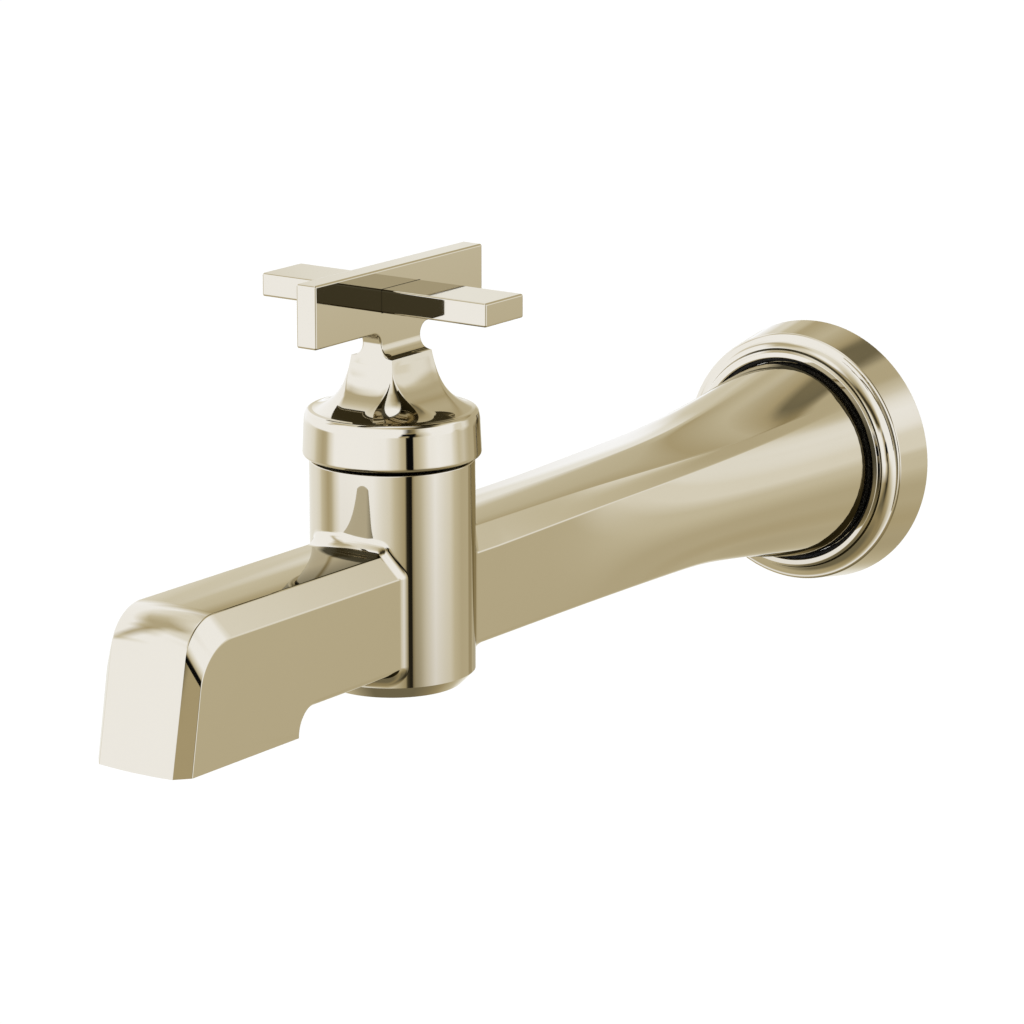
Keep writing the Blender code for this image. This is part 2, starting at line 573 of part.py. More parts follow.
def make_handle(turning):
    axis = (0.0, AXIS_Y, 0.0)
    outlines = []
    for half_x, half_y, roundness, reach, z in hub_sections():
        points = [oval_point(math.tau * (i + 0.5) / 48, half_x, half_y, roundness, reach) for i in range(48)]
        outlines.append([(x, AXIS_Y + y, z) for x, y in points])
    hub = finish("handle_hub", loft(outlines), NICKEL, turning)
    cavity = lathe(
        [(0.0, RING_BOTTOM - 1), (HUB_CAVITY_R, RING_BOTTOM - 1), (HUB_CAVITY_R, HUB_CAVITY_TOP),
         (SPLINE_BORE_R, HUB_CAVITY_TOP), (SPLINE_BORE_R, SPLINE_BORE_TOP), (0.0, SPLINE_BORE_TOP)],
        RING_STEPS, axis)
    boolean(hub, cutter("hub_cavity", cavity))
    screw_axis = (0.0, 1.0, 0.0)
    screw_spot = (0.0, AXIS_Y, HANDLE_SCREW_Z)
    hole = lathe(rod(HANDLE_SCREW_R + GAP, 3.0, RING_R + 2), 16, screw_spot, screw_axis)
    boolean(hub, cutter("handle_screw_hole", hole))
    cross_low = BAR_MID_Z - BAR_THICK / 2
    cross_high = BAR_MID_Z + BAR_THICK / 2
    reach = BAR_TALL / 2
    window = box((-BAR_THICK, AXIS_Y - reach - GAP, cross_low - GAP),
                 (BAR_THICK, AXIS_Y + reach + GAP, cross_high + GAP))
    boolean(hub, cutter("crossbar_window", window))
    half = BAR_LENGTH / 2
    bar = box((-half, AXIS_Y - reach, cross_low), (half, AXIS_Y + reach, cross_high), BAR_EDGE)
    finish("handle_crossbar", bar, NICKEL, turning)
    insert = tube(STEM_SPLINE_R + GAP, SPLINE_INSERT_R, SPLINE_INSERT_LOW, SPLINE_INSERT_HIGH)
    finish("handle_spline_insert", lathe(insert, SMALL_STEPS, axis), WHITE_PLASTIC, turning)
    screw = lathe(rod(HANDLE_SCREW_R, HANDLE_SCREW_START, HANDLE_SCREW_END), 16, screw_spot, screw_axis)
    screw = finish("handle_set_screw", screw, STEEL, turning)
    key = hexagon(HANDLE_SCREW_KEY_R, HANDLE_SCREW_END - 2.4, HANDLE_SCREW_END + 1, screw_spot, screw_axis)
    boolean(screw, cutter("handle_screw_key", key))


def perforated(name, low, high, centre, look, rings):
    """A round plate with rings of holes, each ring as (radius, count, hole radius)."""
    plate = finish(name, lathe(rod(AERATOR_PLATE_R, low, high), RING_STEPS, centre), look)
    index = 0
    for ring_r, count, hole_r in rings:
        for i in range(count):
            turn = math.tau * i / count
            spot = (centre[0] + ring_r * math.cos(turn), centre[1] + ring_r * math.sin(turn), 0.0)
            boolean(plate, cutter(f"{name}_hole_{index}", lathe(rod(hole_r, low - 1, high + 1), 6, spot)))
            index += 1


def make_aerator():
    centre = barrel_point(0.0, OUTLET_REACH, 0.0)
    washer = tube(DROP_BORE_R + 0.4, AERATOR_R - 0.1, AERATOR_HIGH + GAP, AERATOR_BORE_TOP - GAP)
    finish("aerator_washer", lathe(washer, RING_STEPS, centre), RUBBER)
    shell = [
        (AERATOR_R, AERATOR_LOW), (AERATOR_R, AERATOR_HIGH), (AERATOR_INNER_R, AERATOR_HIGH),
        (AERATOR_INNER_R, AERATOR_LOW + 1), (AERATOR_INNER_R - 0.8, AERATOR_LOW + 1),
        (AERATOR_INNER_R - 0.8, AERATOR_LOW)]
    finish("aerator_housing", lathe(shell, RING_STEPS, centre), NICKEL)
    perforated("aerator_screen", -9.8, -9.2, centre, STEEL, ((0.0, 1, 1.2), (4.6, 6, 1.2)))
    perforated("aerator_core", -13.2, -10.1, centre, GREY_PLASTIC, ((5.6, 8, 1.0),))
    perforated("aerator_grid", -15.5, -13.5, centre, WHITE_PLASTIC, ((0.0, 1, 1.3), (4.2, 6, 1.3)))


def main():
    clear_scene()
    turning = bpy.data.objects.new("handle_axis", None)
    bpy.context.scene.collection.objects.link(turning)
    turning.location = (0.0, AXIS_Y * MM, RING_BOTTOM * MM)
    bpy.context.view_layer.update()
    make_body()
    make_flange()
    make_inlet()
    make_cartridge(turning)
    make_handle(turning)
    make_aerator()


main()
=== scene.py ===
"""Looks of the wall mounted bath faucet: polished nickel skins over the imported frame, and its studio.

Shapes are worked out in millimetres, in the frame's own axes: the wall is the XZ plane, the spout runs out
along -Y and +Z is up. "Forward" is the distance from the barrel's axis towards the spout's nose.
"""
import json
import math

import bpy
import numpy as np
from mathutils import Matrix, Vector
from mathutils.geometry import delaunay_2d_cdt


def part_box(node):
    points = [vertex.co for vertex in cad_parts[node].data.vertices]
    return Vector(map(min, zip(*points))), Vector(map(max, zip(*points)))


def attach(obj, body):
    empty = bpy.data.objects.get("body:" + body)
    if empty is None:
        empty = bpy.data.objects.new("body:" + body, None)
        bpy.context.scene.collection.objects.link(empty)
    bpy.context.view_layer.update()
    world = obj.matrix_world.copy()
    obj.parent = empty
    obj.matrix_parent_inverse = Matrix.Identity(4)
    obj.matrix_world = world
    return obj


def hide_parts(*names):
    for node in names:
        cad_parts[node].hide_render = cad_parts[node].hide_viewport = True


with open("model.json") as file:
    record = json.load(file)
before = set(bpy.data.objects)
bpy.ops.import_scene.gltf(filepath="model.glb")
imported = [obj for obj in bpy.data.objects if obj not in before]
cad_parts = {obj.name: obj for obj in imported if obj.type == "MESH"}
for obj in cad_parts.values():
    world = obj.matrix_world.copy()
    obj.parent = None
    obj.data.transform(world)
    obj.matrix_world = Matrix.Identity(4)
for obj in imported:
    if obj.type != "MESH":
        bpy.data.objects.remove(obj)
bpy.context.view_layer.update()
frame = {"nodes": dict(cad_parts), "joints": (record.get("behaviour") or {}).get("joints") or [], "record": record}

MM = 0.001
WELD = 1e-3
SECTION_SPACING = 1.3
WIDE_ARC_R, ARC_STEP, WIDE_ARC_STEP = 5.0, math.radians(7.5), math.radians(2.5)
ORIGIN = np.zeros(3)
X, Y, Z = np.eye(3)


def low_mm(node):
    return np.array(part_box(node)[0]) / MM


def high_mm(node):
    return np.array(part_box(node)[1]) / MM


# Barrel, from the frame where the frame gives it.
AXIS = np.array(frame["joints"][0]["pos_m"]) / MM * (1, 1, 0)
BARREL_R = 17.0
BARREL_TOP = high_mm("body")[2]
BARREL_BOTTOM = -17.7
BARREL_CHAMFER, BARREL_ROUND = 2.8, 0.3
CARTRIDGE_BORE_R = 13.7
SEAT_Z = 1.0
CHAMBER_R, CHAMBER_BOTTOM = 6.6, -10.2

# Section shared by the spout and the arm.
HALF_WIDTH = 11.76
CHAMFER_IN = 2.65
SIDE_TOP = 8.1
CROWN_EDGE = 13.05
CROWN_SLOPE = math.radians(10.0)
UNDERSIDE = -11.75
UNDER_ROUND = 1.3
LOWER_CREASE_ROUND = 0.9
UPPER_CREASE_ROUND = 0.5
FILLET_R = UNDERSIDE - (BARREL_BOTTOM + BARREL_CHAMFER)

# Spout nose, measured forward of the barrel's axis.
NOSE_REACH = 83.05
NOSE_RAKE, NOSE_ROUND = 11.0, 9.0
# How much less the nose reaches for each millimetre below the crown's edge, and for each above it.
NOSE_NARROWING = (0.606, 0.75)
NOSE_BACK = 46.9
NOSE_BOTTOM = -17.05
OUTLET = AXIS * (1, 0, 1) + (low_mm("aerator_housing") + high_mm("aerator_housing")) / 2 * (0, 1, 0)
AERATOR_BORE_R, AERATOR_BORE_TOP = 9.4, -7.0
DROP_BORE_R, DROP_BORE_TOP = 6.0, 8.5

# Arm and collar. The patch around the set screw is given by half its width and its reach to front and rear.
COLLAR_R = 22.6
COLLAR_START = 15.2
COLLAR_END = -high_mm("body")[1]
SOCKET_R, SOCKET_DEPTH = 13.2, 34.0
FLARE_FROM = 21.0
SCREW_PATCH = (5.0, 5.0, 4.0)
SCREW_HOLE_R, SCREW_FLOOR_GAP = 2.8, 0.85
# Where the flare sets in behind the barrel's axis, and how softly: for the width, and for the height at five
# places round the collar, in degrees from +X.
WIDTH_ONSET = (56.0, 12.0)
COLLAR_ANGLES = (-90.0, -52.5, 40.6, 45.75, 90.0)
HEIGHT_ONSETS = (98.5, 98.5, 106.5, 112.5, 110.0)
HEIGHT_SOFTNESS = (7.0, 7.0, 80.0, 9.0, 25.0)

# Handle. DIAGONAL is the direction of the trumpet's corners; FIT is the crossbar's play in its window.
RING_BOTTOM = low_mm("handle_hub")[2]
RING_R = high_mm("handle_hub")[0]
RECESS_R, RECESS_TOP = 15.5, 34.4
SPLINE_R, SPLINE_TOP = 5.6, 45.4
HUB_SCREW_HOLE_R, HUB_SCREW_HOLE_END = 1.9, 5.9
NECK_Z = 51.25
NECK_HALF = np.array((5.14, 6.73))
BLADE_LOW, BLADE_HIGH = 56.57, high_mm("handle_hub")[2]
BAR_LOW, BAR_HIGH = low_mm("handle_crossbar"), high_mm("handle_crossbar")
BLADE_HALF = 2.44
BAR_EDGE = 0.45
WEB_TOP = 54.1
DIAGONAL = np.array((0.815, 0.579))
TRUMPET_FOOT, TRUMPET_FLAT_Z, TRUMPET_SPREAD = 39.85, 36.02, 42.0
SHOULDER = ((RING_R - 0.33, 37.9, 6.0), (RING_R - 0.75, TRUMPET_FOOT - 0.25, 1.0))
TRUMPET_OPENING = 2.4
FACE_BULGE = 0.3
FIT = 0.06


class Skin:
    """Patches of one surface. They share their edges exactly, and each brings its own true normals."""

    def __init__(self):
        self.points, self.normals, self.triangles, self.count = [], [], [], 0

    def add(self, points, normals, triangles):
        self.points.append(np.reshape(points, (-1, 3)))
        self.normals.append(np.reshape(normals, (-1, 3)))
        self.triangles.append(np.reshape(triangles, (-1, 3)) + self.count)
        self.count += len(self.points[-1])

    def grid(self, points, normals):
        rows, columns = points.shape[:2]
        corner = (np.arange(rows - 1)[:, None] * columns + np.arange(columns - 1)).ravel()
        split = np.concatenate([
            np.stack([corner, corner + 1, corner + columns + 1], 1),
            np.stack([corner, corner + columns + 1, corner + columns], 1)])
        self.add(points, np.broadcast_to(normals, points.shape), split)

    def sheet(self, loops, lift, pitch=0.0):
        """Fills what lies inside the first flat loop and outside the others, lifted onto its surface."""
        flat = np.concatenate([*loops, lattice(loops, pitch)] if pitch else loops)
        edges, start = [], 0
        for loop in loops:
            edges += [(start + i, start + (i + 1) % len(loop)) for i in range(len(loop))]
            start += len(loop)
        made = delaunay_2d_cdt([Vector(p) for p in flat - flat.mean(axis=0)], edges, [], 0, 1e-6, True)
        source = np.array([ids[0] for ids in made[3]])
        merged = {one: ids[0] for ids in made[3] for one in ids}
        walls = {frozenset((merged[a], merged[b])) for a, b in edges}
        self.add(*lift(flat), flooded(source[np.array(made[2])], walls))

    def flat(self, loops, origin, across, up, normal):
        """Fills flat loops in the plane through origin that the axes across and up span."""
        self.sheet(loops, lambda points: (
            origin + points[:, :1] * across + points[:, 1:] * up, np.broadcast_to(normal, (len(points), 3))))

    def walls(self, hole, origin, across, up, depth):
        """Flat walls that face into a convex hole, from its outline to the same outline moved by depth."""
        for one, two in zip(hole, np.roll(hole, -1, axis=0)):
            inward = unit((one[1] - two[1], two[0] - one[0]))
            inward *= np.sign(inward @ (hole.mean(axis=0) - one))
            ends = origin + np.outer((one[0], two[0]), across) + np.outer((one[1], two[1]), up)
            self.grid(np.stack([ends, ends + depth]), inward[0] * across + inward[1] * up)

    def blind_hole(self, rim, end, normal):
        """A hole from its ring of rim points straight to a flat floor around the point end."""
        along = np.abs(normal)
        floor = rim * (1 - along) + end * along
        self.grid(np.stack([rim, floor]), unit((end - rim) * (1 - along))[None])
        self.grid(np.stack([floor, np.broadcast_to(end, floor.shape)]), normal)

    def piece(self, node, body, slot):
        """Welds the patches into one mesh that rides on a body and stands for its CAD node."""
        points, normals = np.concatenate(self.points), np.concatenate(self.normals)
        triangles = np.concatenate(self.triangles)
        _, first, index = np.unique(np.round(points / WELD), axis=0, return_index=True, return_inverse=True)
        welded = index.ravel()[triangles]
        whole = (welded != np.roll(welded, 1, axis=1)).all(axis=1)
        welded, triangles = welded[whole], triangles[whole]
        place = points[first]
        a, b, c = (place[welded[:, k]] for k in range(3))
        backward = (np.cross(b - a, c - a) * normals[triangles].sum(axis=1)).sum(axis=1) < 0
        for corners in (welded, triangles):
            corners[backward] = corners[backward][:, ::-1]
        mesh = bpy.data.meshes.new(node + "_skin")
        mesh.from_pydata((place * MM).tolist(), [], welded.tolist())
        mesh.shade_smooth()
        mesh.normals_split_custom_set(normals[triangles].reshape(-1, 3).tolist())
        mesh.materials.append(FINISHES[slot])
        obj = bpy.data.objects.new(node + "_skin", mesh)
        bpy.context.scene.collection.objects.link(obj)
        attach(obj, body)
        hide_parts(node)


def flooded(triangles, walls):
    """The triangles reached from outside across an odd number of walls."""
    owners = {}
    for i, (a, b, c) in enumerate(triangles.tolist()):
        for edge in (frozenset((a, b)), frozenset((b, c)), frozenset((c, a))):
            owners.setdefault(edge, []).append(i)
    links = {i: [] for i in range(len(triangles))}
    state, waiting = {}, []
    for edge, pair in owners.items():
        if len(pair) == 1 and pair[0] not in state:
            state[pair[0]] = edge in walls
            waiting.append(pair[0])
        elif len(pair) == 2:
            links[pair[0]].append((pair[1], edge in walls))
            links[pair[1]].append((pair[0], edge in walls))
    while waiting:
        one = waiting.pop()
        for other, crossed in links[one]:
            if other not in state:
                state[other] = state[one] != crossed
                waiting.append(other)
    return triangles[[state[i] for i in range(len(triangles))]]


def inside(points, loops):
    """Whether each flat point lies inside an odd number of loops."""
    crossings = np.zeros(len(points), int)
    for loop in loops:
        a = np.asarray(loop)
        b = np.roll(a, -1, axis=0)
        with np.errstate(divide="ignore", invalid="ignore"):
            spans = (a[:, 1] > points[:, None, 1]) != (b[:, 1] > points[:, None, 1])
            at = a[:, 0] + (points[:, None, 1] - a[:, 1]) / (b[:, 1] - a[:, 1]) * (b[:, 0] - a[:, 0])
        crossings += (spans & (points[:, None, 0] < at)).sum(axis=1)
    return crossings % 2 == 1


def lattice(loops, pitch):
    """Points of a square grid inside the loops, none near an outline's points."""
    outline = np.concatenate(loops)
    low, high = outline.min(axis=0), outline.max(axis=0)
    axes = [np.arange(a + pitch / 2, b, pitch) for a, b in zip(low, high)]
    points = np.stack(np.meshgrid(*axes), -1).reshape(-1, 2)
    points = points[inside(points, loops)]
    gap = np.linalg.norm(points[:, None] - outline[None], axis=2).min(axis=1)
    return points[gap > pitch / 2]


def unit(vectors):
    vectors = np.asarray(vectors, float)
    return vectors / np.linalg.norm(vectors, axis=-1, keepdims=True)


def rounded(corners, closed=True, spacing=1e9):
    """Samples (a, b, normal a, normal b) of an outline of (a, b, corner radius), normals off the solid.
    An open outline has its solid on the left. Straight stretches get a sample at least every spacing."""
    corners = np.array(corners, float)
    ahead = np.roll(corners, -1, axis=0)
    if closed and (corners[:, 0] * ahead[:, 1] - corners[:, 1] * ahead[:, 0]).sum() < 0:
        corners = np.concatenate([corners[:1], corners[:0:-1]])
    samples = []
    for i, (a, b, radius) in enumerate(corners):
        here = np.array((a, b))
        before = here - corners[i - 1, :2]
        after = corners[(i + 1) % len(corners), :2] - here
        if not closed and i == 0:
            before = after
        if not closed and i == len(corners) - 1:
            after = before
        before, after = unit(before), unit(after)
        turn = math.atan2(before[0] * after[1] - before[1] * after[0], before @ after)
        start = math.atan2(-before[0], before[1])
        side = math.copysign(radius, turn)
        first = here - before * radius * math.tan(abs(turn) / 2)
        centre = first - side * np.array((math.cos(start), math.sin(start)))
        step = ARC_STEP if radius < WIDE_ARC_R else WIDE_ARC_STEP
        steps = 0 if abs(turn) < 1e-6 else 1 if radius == 0 else max(2, math.ceil(abs(turn) / step - 1e-6))
        for k in range(steps + 1):
            angle = start + turn * k / max(1, steps)
            normal = np.array((math.cos(angle), math.sin(angle)))
            samples.append((*(centre + side * normal), *normal))
    samples = np.array(samples + samples[:1] if closed else samples)
    full = [samples[0]]
    for one, two in zip(samples, samples[1:]):
        parts = max(1, math.ceil(np.linalg.norm(two[:2] - one[:2]) / spacing - 1e-6))
        full += [one + (two - one) * k / parts for k in range(1, parts + 1)]
    return np.array(full)


def spin(skin, outline, centre, axis=Z, turns=96, first=X):
    """Turns an outline of (radius, height) samples about an axis. turns is a count or the angles."""
    if np.isscalar(turns):
        turns = math.tau * np.arange(turns + 1) / turns
    second = np.cross(axis, first)
    radial = np.cos(turns)[:, None] * first + np.sin(turns)[:, None] * second
    points = centre + outline[:, None, :1] * radial + outline[:, None, 1:2] * axis
    skin.grid(points, outline[:, None, 2:3] * radial + outline[:, None, 3:4] * axis)


def circle(centre, radius, count):
    turns = math.tau * np.arange(count) / count
    return np.array(centre) + radius * np.stack([np.cos(turns), np.sin(turns)], 1)


def frame_loop(across, up):
    """The outline of a patch of a grid, anticlockwise, from the places of its columns and rows."""
    loop = [(a, up[0]) for a in across] + [(across[-1], b) for b in up[1:-1]]
    return np.array(loop + [(a, up[-1]) for a in across[::-1]] + [(across[0], b) for b in up[-2:0:-1]])


def lengths(outline):
    """How far along the outline each of its samples lies."""
    return np.concatenate([[0], np.cumsum(np.linalg.norm(np.diff(outline[:, :2], axis=0), axis=1))])


def ringed(points):
    """The points with the first one again at the end."""
    return np.concatenate([points, points[:1]])


def add_rim(skin, plane, normal, out, half, edge):
    """Wall around a slab of half-thickness half along out. Its edges' rounding may vary along the wall."""
    edge = np.broadcast_to(edge, len(plane))[:, None]
    sine, cosine = (one(np.linspace(0, math.pi / 2, 6))[:, None, None] for one in (np.sin, np.cos))
    for side in (-1, 1):
        skin.grid(plane - normal * edge * (1 - cosine) + side * (half - edge + edge * sine) * out,
                  normal * cosine + side * sine * out)
    rim = np.stack([plane - (half - edge) * out, plane + (half - edge) * out])
    skin.grid(rim, np.broadcast_to(normal, rim.shape))


def add_slab(skin, outline, origin, axes, half, holes=()):
    """A slab with rounded edges. Its outline lies in the plane of the first two axes."""
    across, up, out = axes
    add_rim(skin, origin + outline[:, :1] * across + outline[:, 1:2] * up,
            outline[:, 2:3] * across + outline[:, 3:] * up, out, half, BAR_EDGE)
    cap = outline[:, :2] - outline[:, 2:] * BAR_EDGE
    if np.allclose(cap[0], cap[-1]):
        cap = cap[:-1]
    for side in (-1, 1):
        skin.flat([cap, *holes], origin + side * half * out, across, up, side * out)


# ---------------------------------------------------------------- body

def spout_section():
    """The shared section as (x, z, nx, nz), closed, from the middle of its underside, up its right side."""
    flat = HALF_WIDTH - CHAMFER_IN
    apex = CROWN_EDGE + flat * math.tan(CROWN_SLOPE)
    upper_setback = UPPER_CREASE_ROUND * 0.5
    crown_r = (flat / math.cos(CROWN_SLOPE) - upper_setback) / math.tan(CROWN_SLOPE)
    right = [(HALF_WIDTH, UNDERSIDE, UNDER_ROUND), (HALF_WIDTH, SIDE_TOP, LOWER_CREASE_ROUND),
             (flat, CROWN_EDGE, UPPER_CREASE_ROUND)]
    left = [(-x, z, radius) for x, z, radius in reversed(right)]
    return rounded([(0.0, UNDERSIDE, 0.0), *right, (0.0, apex, crown_r), *left], spacing=SECTION_SPACING)


SECTION = spout_section()
SIDE_START, SIDE_END = np.flatnonzero(SECTION[:, 2] > 1 - 1e-9)[[0, -1]]


def nearest(x, z):
    return int(np.argmin(np.hypot(SECTION[:, 0] - x, SECTION[:, 1] - z)))


def across_normals(section):
    return np.stack([section[:, 2], 0 * section[:, 2], section[:, 3]], 1)


def fillet(way):
    """A ball rolled round the joint of section and barrel. Returns points and normals, section edge first."""
    x, z, nx, nz = SECTION.T
    cx, cz = x + FILLET_R * nx, z + FILLET_R * nz
    span = BARREL_R + FILLET_R
    along = np.sqrt(span**2 - cx**2)
    centre = np.stack([cx, AXIS[1] + way * along, cz], 1)
    start = -across_normals(SECTION)
    end = -np.stack([cx, way * along, 0 * cx], 1) / span
    angle = np.arccos((start * end).sum(axis=1))[None, :, None]
    share = np.linspace(0, 1, 13)[:, None, None]
    way_out = (np.sin((1 - share) * angle) * start + np.sin(share * angle) * end) / np.sin(angle)
    return centre + FILLET_R * way_out, -way_out


def nose_outline(z, share):
    """(forward, height) along the nose for a section height. Share 0 to 1 is its round, 1 to 2 its front."""
    drop = CROWN_EDGE - z
    lowered = np.clip(drop / (CROWN_EDGE - SIDE_TOP), 0, 1.2)
    reach = NOSE_REACH - drop * np.where(drop > 0, *NOSE_NARROWING)
    rake = np.radians(NOSE_RAKE - lowered)
    radius = NOSE_ROUND + lowered
    corner = reach - (z - NOSE_BOTTOM) * np.tan(rake)
    turn = math.pi / 2 - rake
    middle = corner - radius * np.tan(turn / 2)
    angle = math.pi / 2 - turn * np.minimum(share, 1)
    forward = middle + radius * np.cos(angle)
    height = z - radius + radius * np.sin(angle)
    down = np.maximum(share - 1, 0)
    return forward + (reach - forward) * down, height + (NOSE_BOTTOM - height) * down


def swept(outline, section, shares):
    """A surface whose section samples each follow outline(z, share), with normals from both derivatives."""
    x, z, nx, nz = (column[None] for column in section.T)
    shares = shares[:, None]
    small = 1e-4
    forward, height = outline(z, shares)
    ahead, behind = outline(z, shares + small), outline(z, shares - small)
    if_up, if_down = outline(z + small, shares), outline(z - small, shares)
    along = np.stack([0 * forward, ahead[0] - behind[0], ahead[1] - behind[1]], -1)
    across = np.stack([-nz * 2 * small + 0 * forward, nx * (if_up[0] - if_down[0]),
                       nx * (if_up[1] - if_down[1])], -1)
    normals = unit(np.cross(across, along))
    if (normals[0] * across_normals(section)).sum() < 0:
        normals = -normals
    return np.stack([x + 0 * forward, AXIS[1] - forward, height], -1), normals * (1, -1, 1)


def throat_outline(z, share):
    radius = z - NOSE_BOTTOM
    angle = math.pi / 2 * (1 - share)
    return NOSE_BACK - radius + radius * np.cos(angle), NOSE_BOTTOM + radius * np.sin(angle)


def prism(skin, section, from_y, to_y):
    rows = [np.stack([section[:, 0], y + 0 * section[:, 0], section[:, 1]], 1) for y in (from_y, to_y)]
    skin.grid(np.stack(rows), across_normals(section)[None])


def add_spout(skin, contact):
    """Spout forward of its fillet; contact is the fillet's edge on the section."""
    last = len(SECTION) - 1
    top = slice(SIDE_END, last - SIDE_END + 1)
    upper = SECTION[top]
    shares = np.concatenate([np.linspace(0, 1, 25), (1.25, 1.5, 1.75, 2.0)])
    rows, _ = swept(nose_outline, upper, shares)
    _, normals = swept(nose_outline, upper, np.concatenate([shares[:-5], (1.25, 1.25, 1.5, 1.75, 1.75)]))
    normals[0] = across_normals(upper)
    skin.grid(rows, normals)
    prism(skin, upper, contact[top, 1], rows[0, :, 1])
    arc = np.linspace(0, 1, 17)
    for part in (slice(0, SIDE_START + 1), slice(last - SIDE_START, None)):
        throat, normals = swept(throat_outline, SECTION[part], arc)
        normals[0] = across_normals(SECTION[part])
        skin.grid(throat, normals)
        prism(skin, SECTION[part], contact[part, 1], throat[0, :, 1])
    throat, _ = swept(throat_outline, SECTION[SIDE_START:SIDE_START + 1], arc)
    for side, edge in ((1, rows[:, 0]), (-1, rows[:, -1])):
        loop = np.concatenate([edge, throat[::-1, 0], contact[SIDE_START:SIDE_END + 1]])[:, 1:]
        distinct = np.linalg.norm(loop - np.roll(loop, 1, axis=0), axis=1) > 1e-6
        skin.flat([loop[distinct]], side * HALF_WIDTH * X, Y, Z, side * X)
    under = np.concatenate([SECTION[last - SIDE_START:last, 0], SECTION[:SIDE_START + 1, 0]])
    back_edge = np.stack([under, np.full(len(under), AXIS[1] - NOSE_BACK)], 1)
    hole = circle(OUTLET[:2], AERATOR_BORE_R, 96)
    skin.flat([np.concatenate([rows[-1][:, :2], back_edge]), hole], NOSE_BOTTOM * Z, X, Y, -Z)
    bore = rounded([(0, DROP_BORE_TOP, 0), (DROP_BORE_R, DROP_BORE_TOP, 0),
                    (DROP_BORE_R, AERATOR_BORE_TOP, 0), (AERATOR_BORE_R, AERATOR_BORE_TOP, 0),
                    (AERATOR_BORE_R, NOSE_BOTTOM, 0)], closed=False)
    spin(skin, bore, OUTLET)


def ramp_share(back, onset, softness):
    """Share of the way to the collar: 0 up to where the flare starts, then a softly bent ramp to 1."""
    def ramp(at):
        return at - onset + np.hypot(at - onset, softness)
    reach = -AXIS[1] - COLLAR_START
    return np.maximum(0.0, (ramp(back) - ramp(FLARE_FROM)) / (ramp(reach) - ramp(FLARE_FROM)))


def collar_angle():
    """Where each section sample lands on the collar, in degrees from +X, and its length along the section."""
    flat = HALF_WIDTH - CHAMFER_IN
    keys = [0, nearest(HALF_WIDTH, UNDERSIDE), nearest(HALF_WIDTH, SIDE_TOP), nearest(flat, CROWN_EDGE),
            int(np.argmax(SECTION[:, 1]))]
    length = lengths(SECTION)
    angle = np.interp(length[:keys[-1] + 1], length[keys], COLLAR_ANGLES)
    return np.concatenate([angle, 180 - angle[-2::-1]]), length


ANGLE, LENGTH = collar_angle()


def arm_surface(x, z, nx, nz, angle, slope, back):
    """Points and normals of the arm for section samples and the distance behind the barrel's axis."""
    half_angle = np.where(angle > 90, 180 - angle, angle)
    sense = np.where(angle > 90, -1.0, 1.0)

    def shares(at, half):
        onset = np.interp(half, COLLAR_ANGLES, HEIGHT_ONSETS)
        softness = np.interp(half, COLLAR_ANGLES, HEIGHT_SOFTNESS)
        return ramp_share(at, *WIDTH_ONSET), ramp_share(at, onset, softness)
    turn = np.radians(angle)
    to_x, to_z = COLLAR_R * np.cos(turn) - x, COLLAR_R * np.sin(turn) - z
    wide, tall = shares(back, half_angle)
    small = 1e-3
    wide_on, tall_on = shares(back + small, half_angle)
    wide_off, tall_off = shares(back - small, half_angle)
    tall_up = shares(back, half_angle + small)[1]
    tall_down = shares(back, half_angle - small)[1]
    by_angle = (tall_up - tall_down) / (2 * small) * sense
    along = np.stack([to_x * (wide_on - wide_off), 2 * small + 0 * tall, to_z * (tall_on - tall_off)], -1)
    across = np.stack([
        -nz * (1 - wide) - wide * COLLAR_R * np.sin(turn) * np.radians(slope),
        0 * tall,
        nx * (1 - tall) + tall * COLLAR_R * np.cos(turn) * np.radians(slope) + to_z * by_angle * slope], -1)
    points = np.stack([x + to_x * wide, AXIS[1] + back + 0 * tall, z + to_z * tall], -1)
    return points, unit(np.cross(along, across))


def add_arm(skin, contact):
    x, z, nx, nz = SECTION.T
    reach = -AXIS[1] - COLLAR_START
    slope = np.gradient(ANGLE, LENGTH + 1e-9 * np.arange(len(LENGTH)))
    backs = np.linspace(FLARE_FROM, reach, 43)
    rows = np.broadcast_to(backs[:, None], (len(backs), len(x)))
    points, normals = arm_surface(x, z, nx, nz, ANGLE, slope, rows)
    prism(skin, SECTION, contact[:, 1], np.full(len(x), AXIS[1] + FLARE_FROM))
    screw_back = (low_mm("body_set_screw")[1] + high_mm("body_set_screw")[1]) / 2 - AXIS[1]
    first = int(np.searchsorted(backs, screw_back - SCREW_PATCH[1])) - 1
    last = int(np.searchsorted(backs, screw_back + SCREW_PATCH[2]))
    column = int(np.searchsorted(x[:SIDE_START], SCREW_PATCH[0]))
    left = len(x) - 1 - column
    skin.grid(points[:first + 1], normals[:first + 1])
    skin.grid(points[first:, column:left + 1], normals[first:, column:left + 1])
    for part in (slice(0, column + 1), slice(left, None)):
        skin.grid(points[last:, part], normals[last:, part])
    add_screw_patch(skin, backs[first:last + 1], x[:column + 1], screw_back)
    skirt = rounded([(0, SOCKET_DEPTH, 0), (SOCKET_R, SOCKET_DEPTH, 0), (SOCKET_R, COLLAR_END, 0.4),
                     (COLLAR_R, COLLAR_END, 0.4), (COLLAR_R, COLLAR_START, 0)], closed=False)
    spin(skin, skirt, ORIGIN, -Y, np.radians(ANGLE), X)


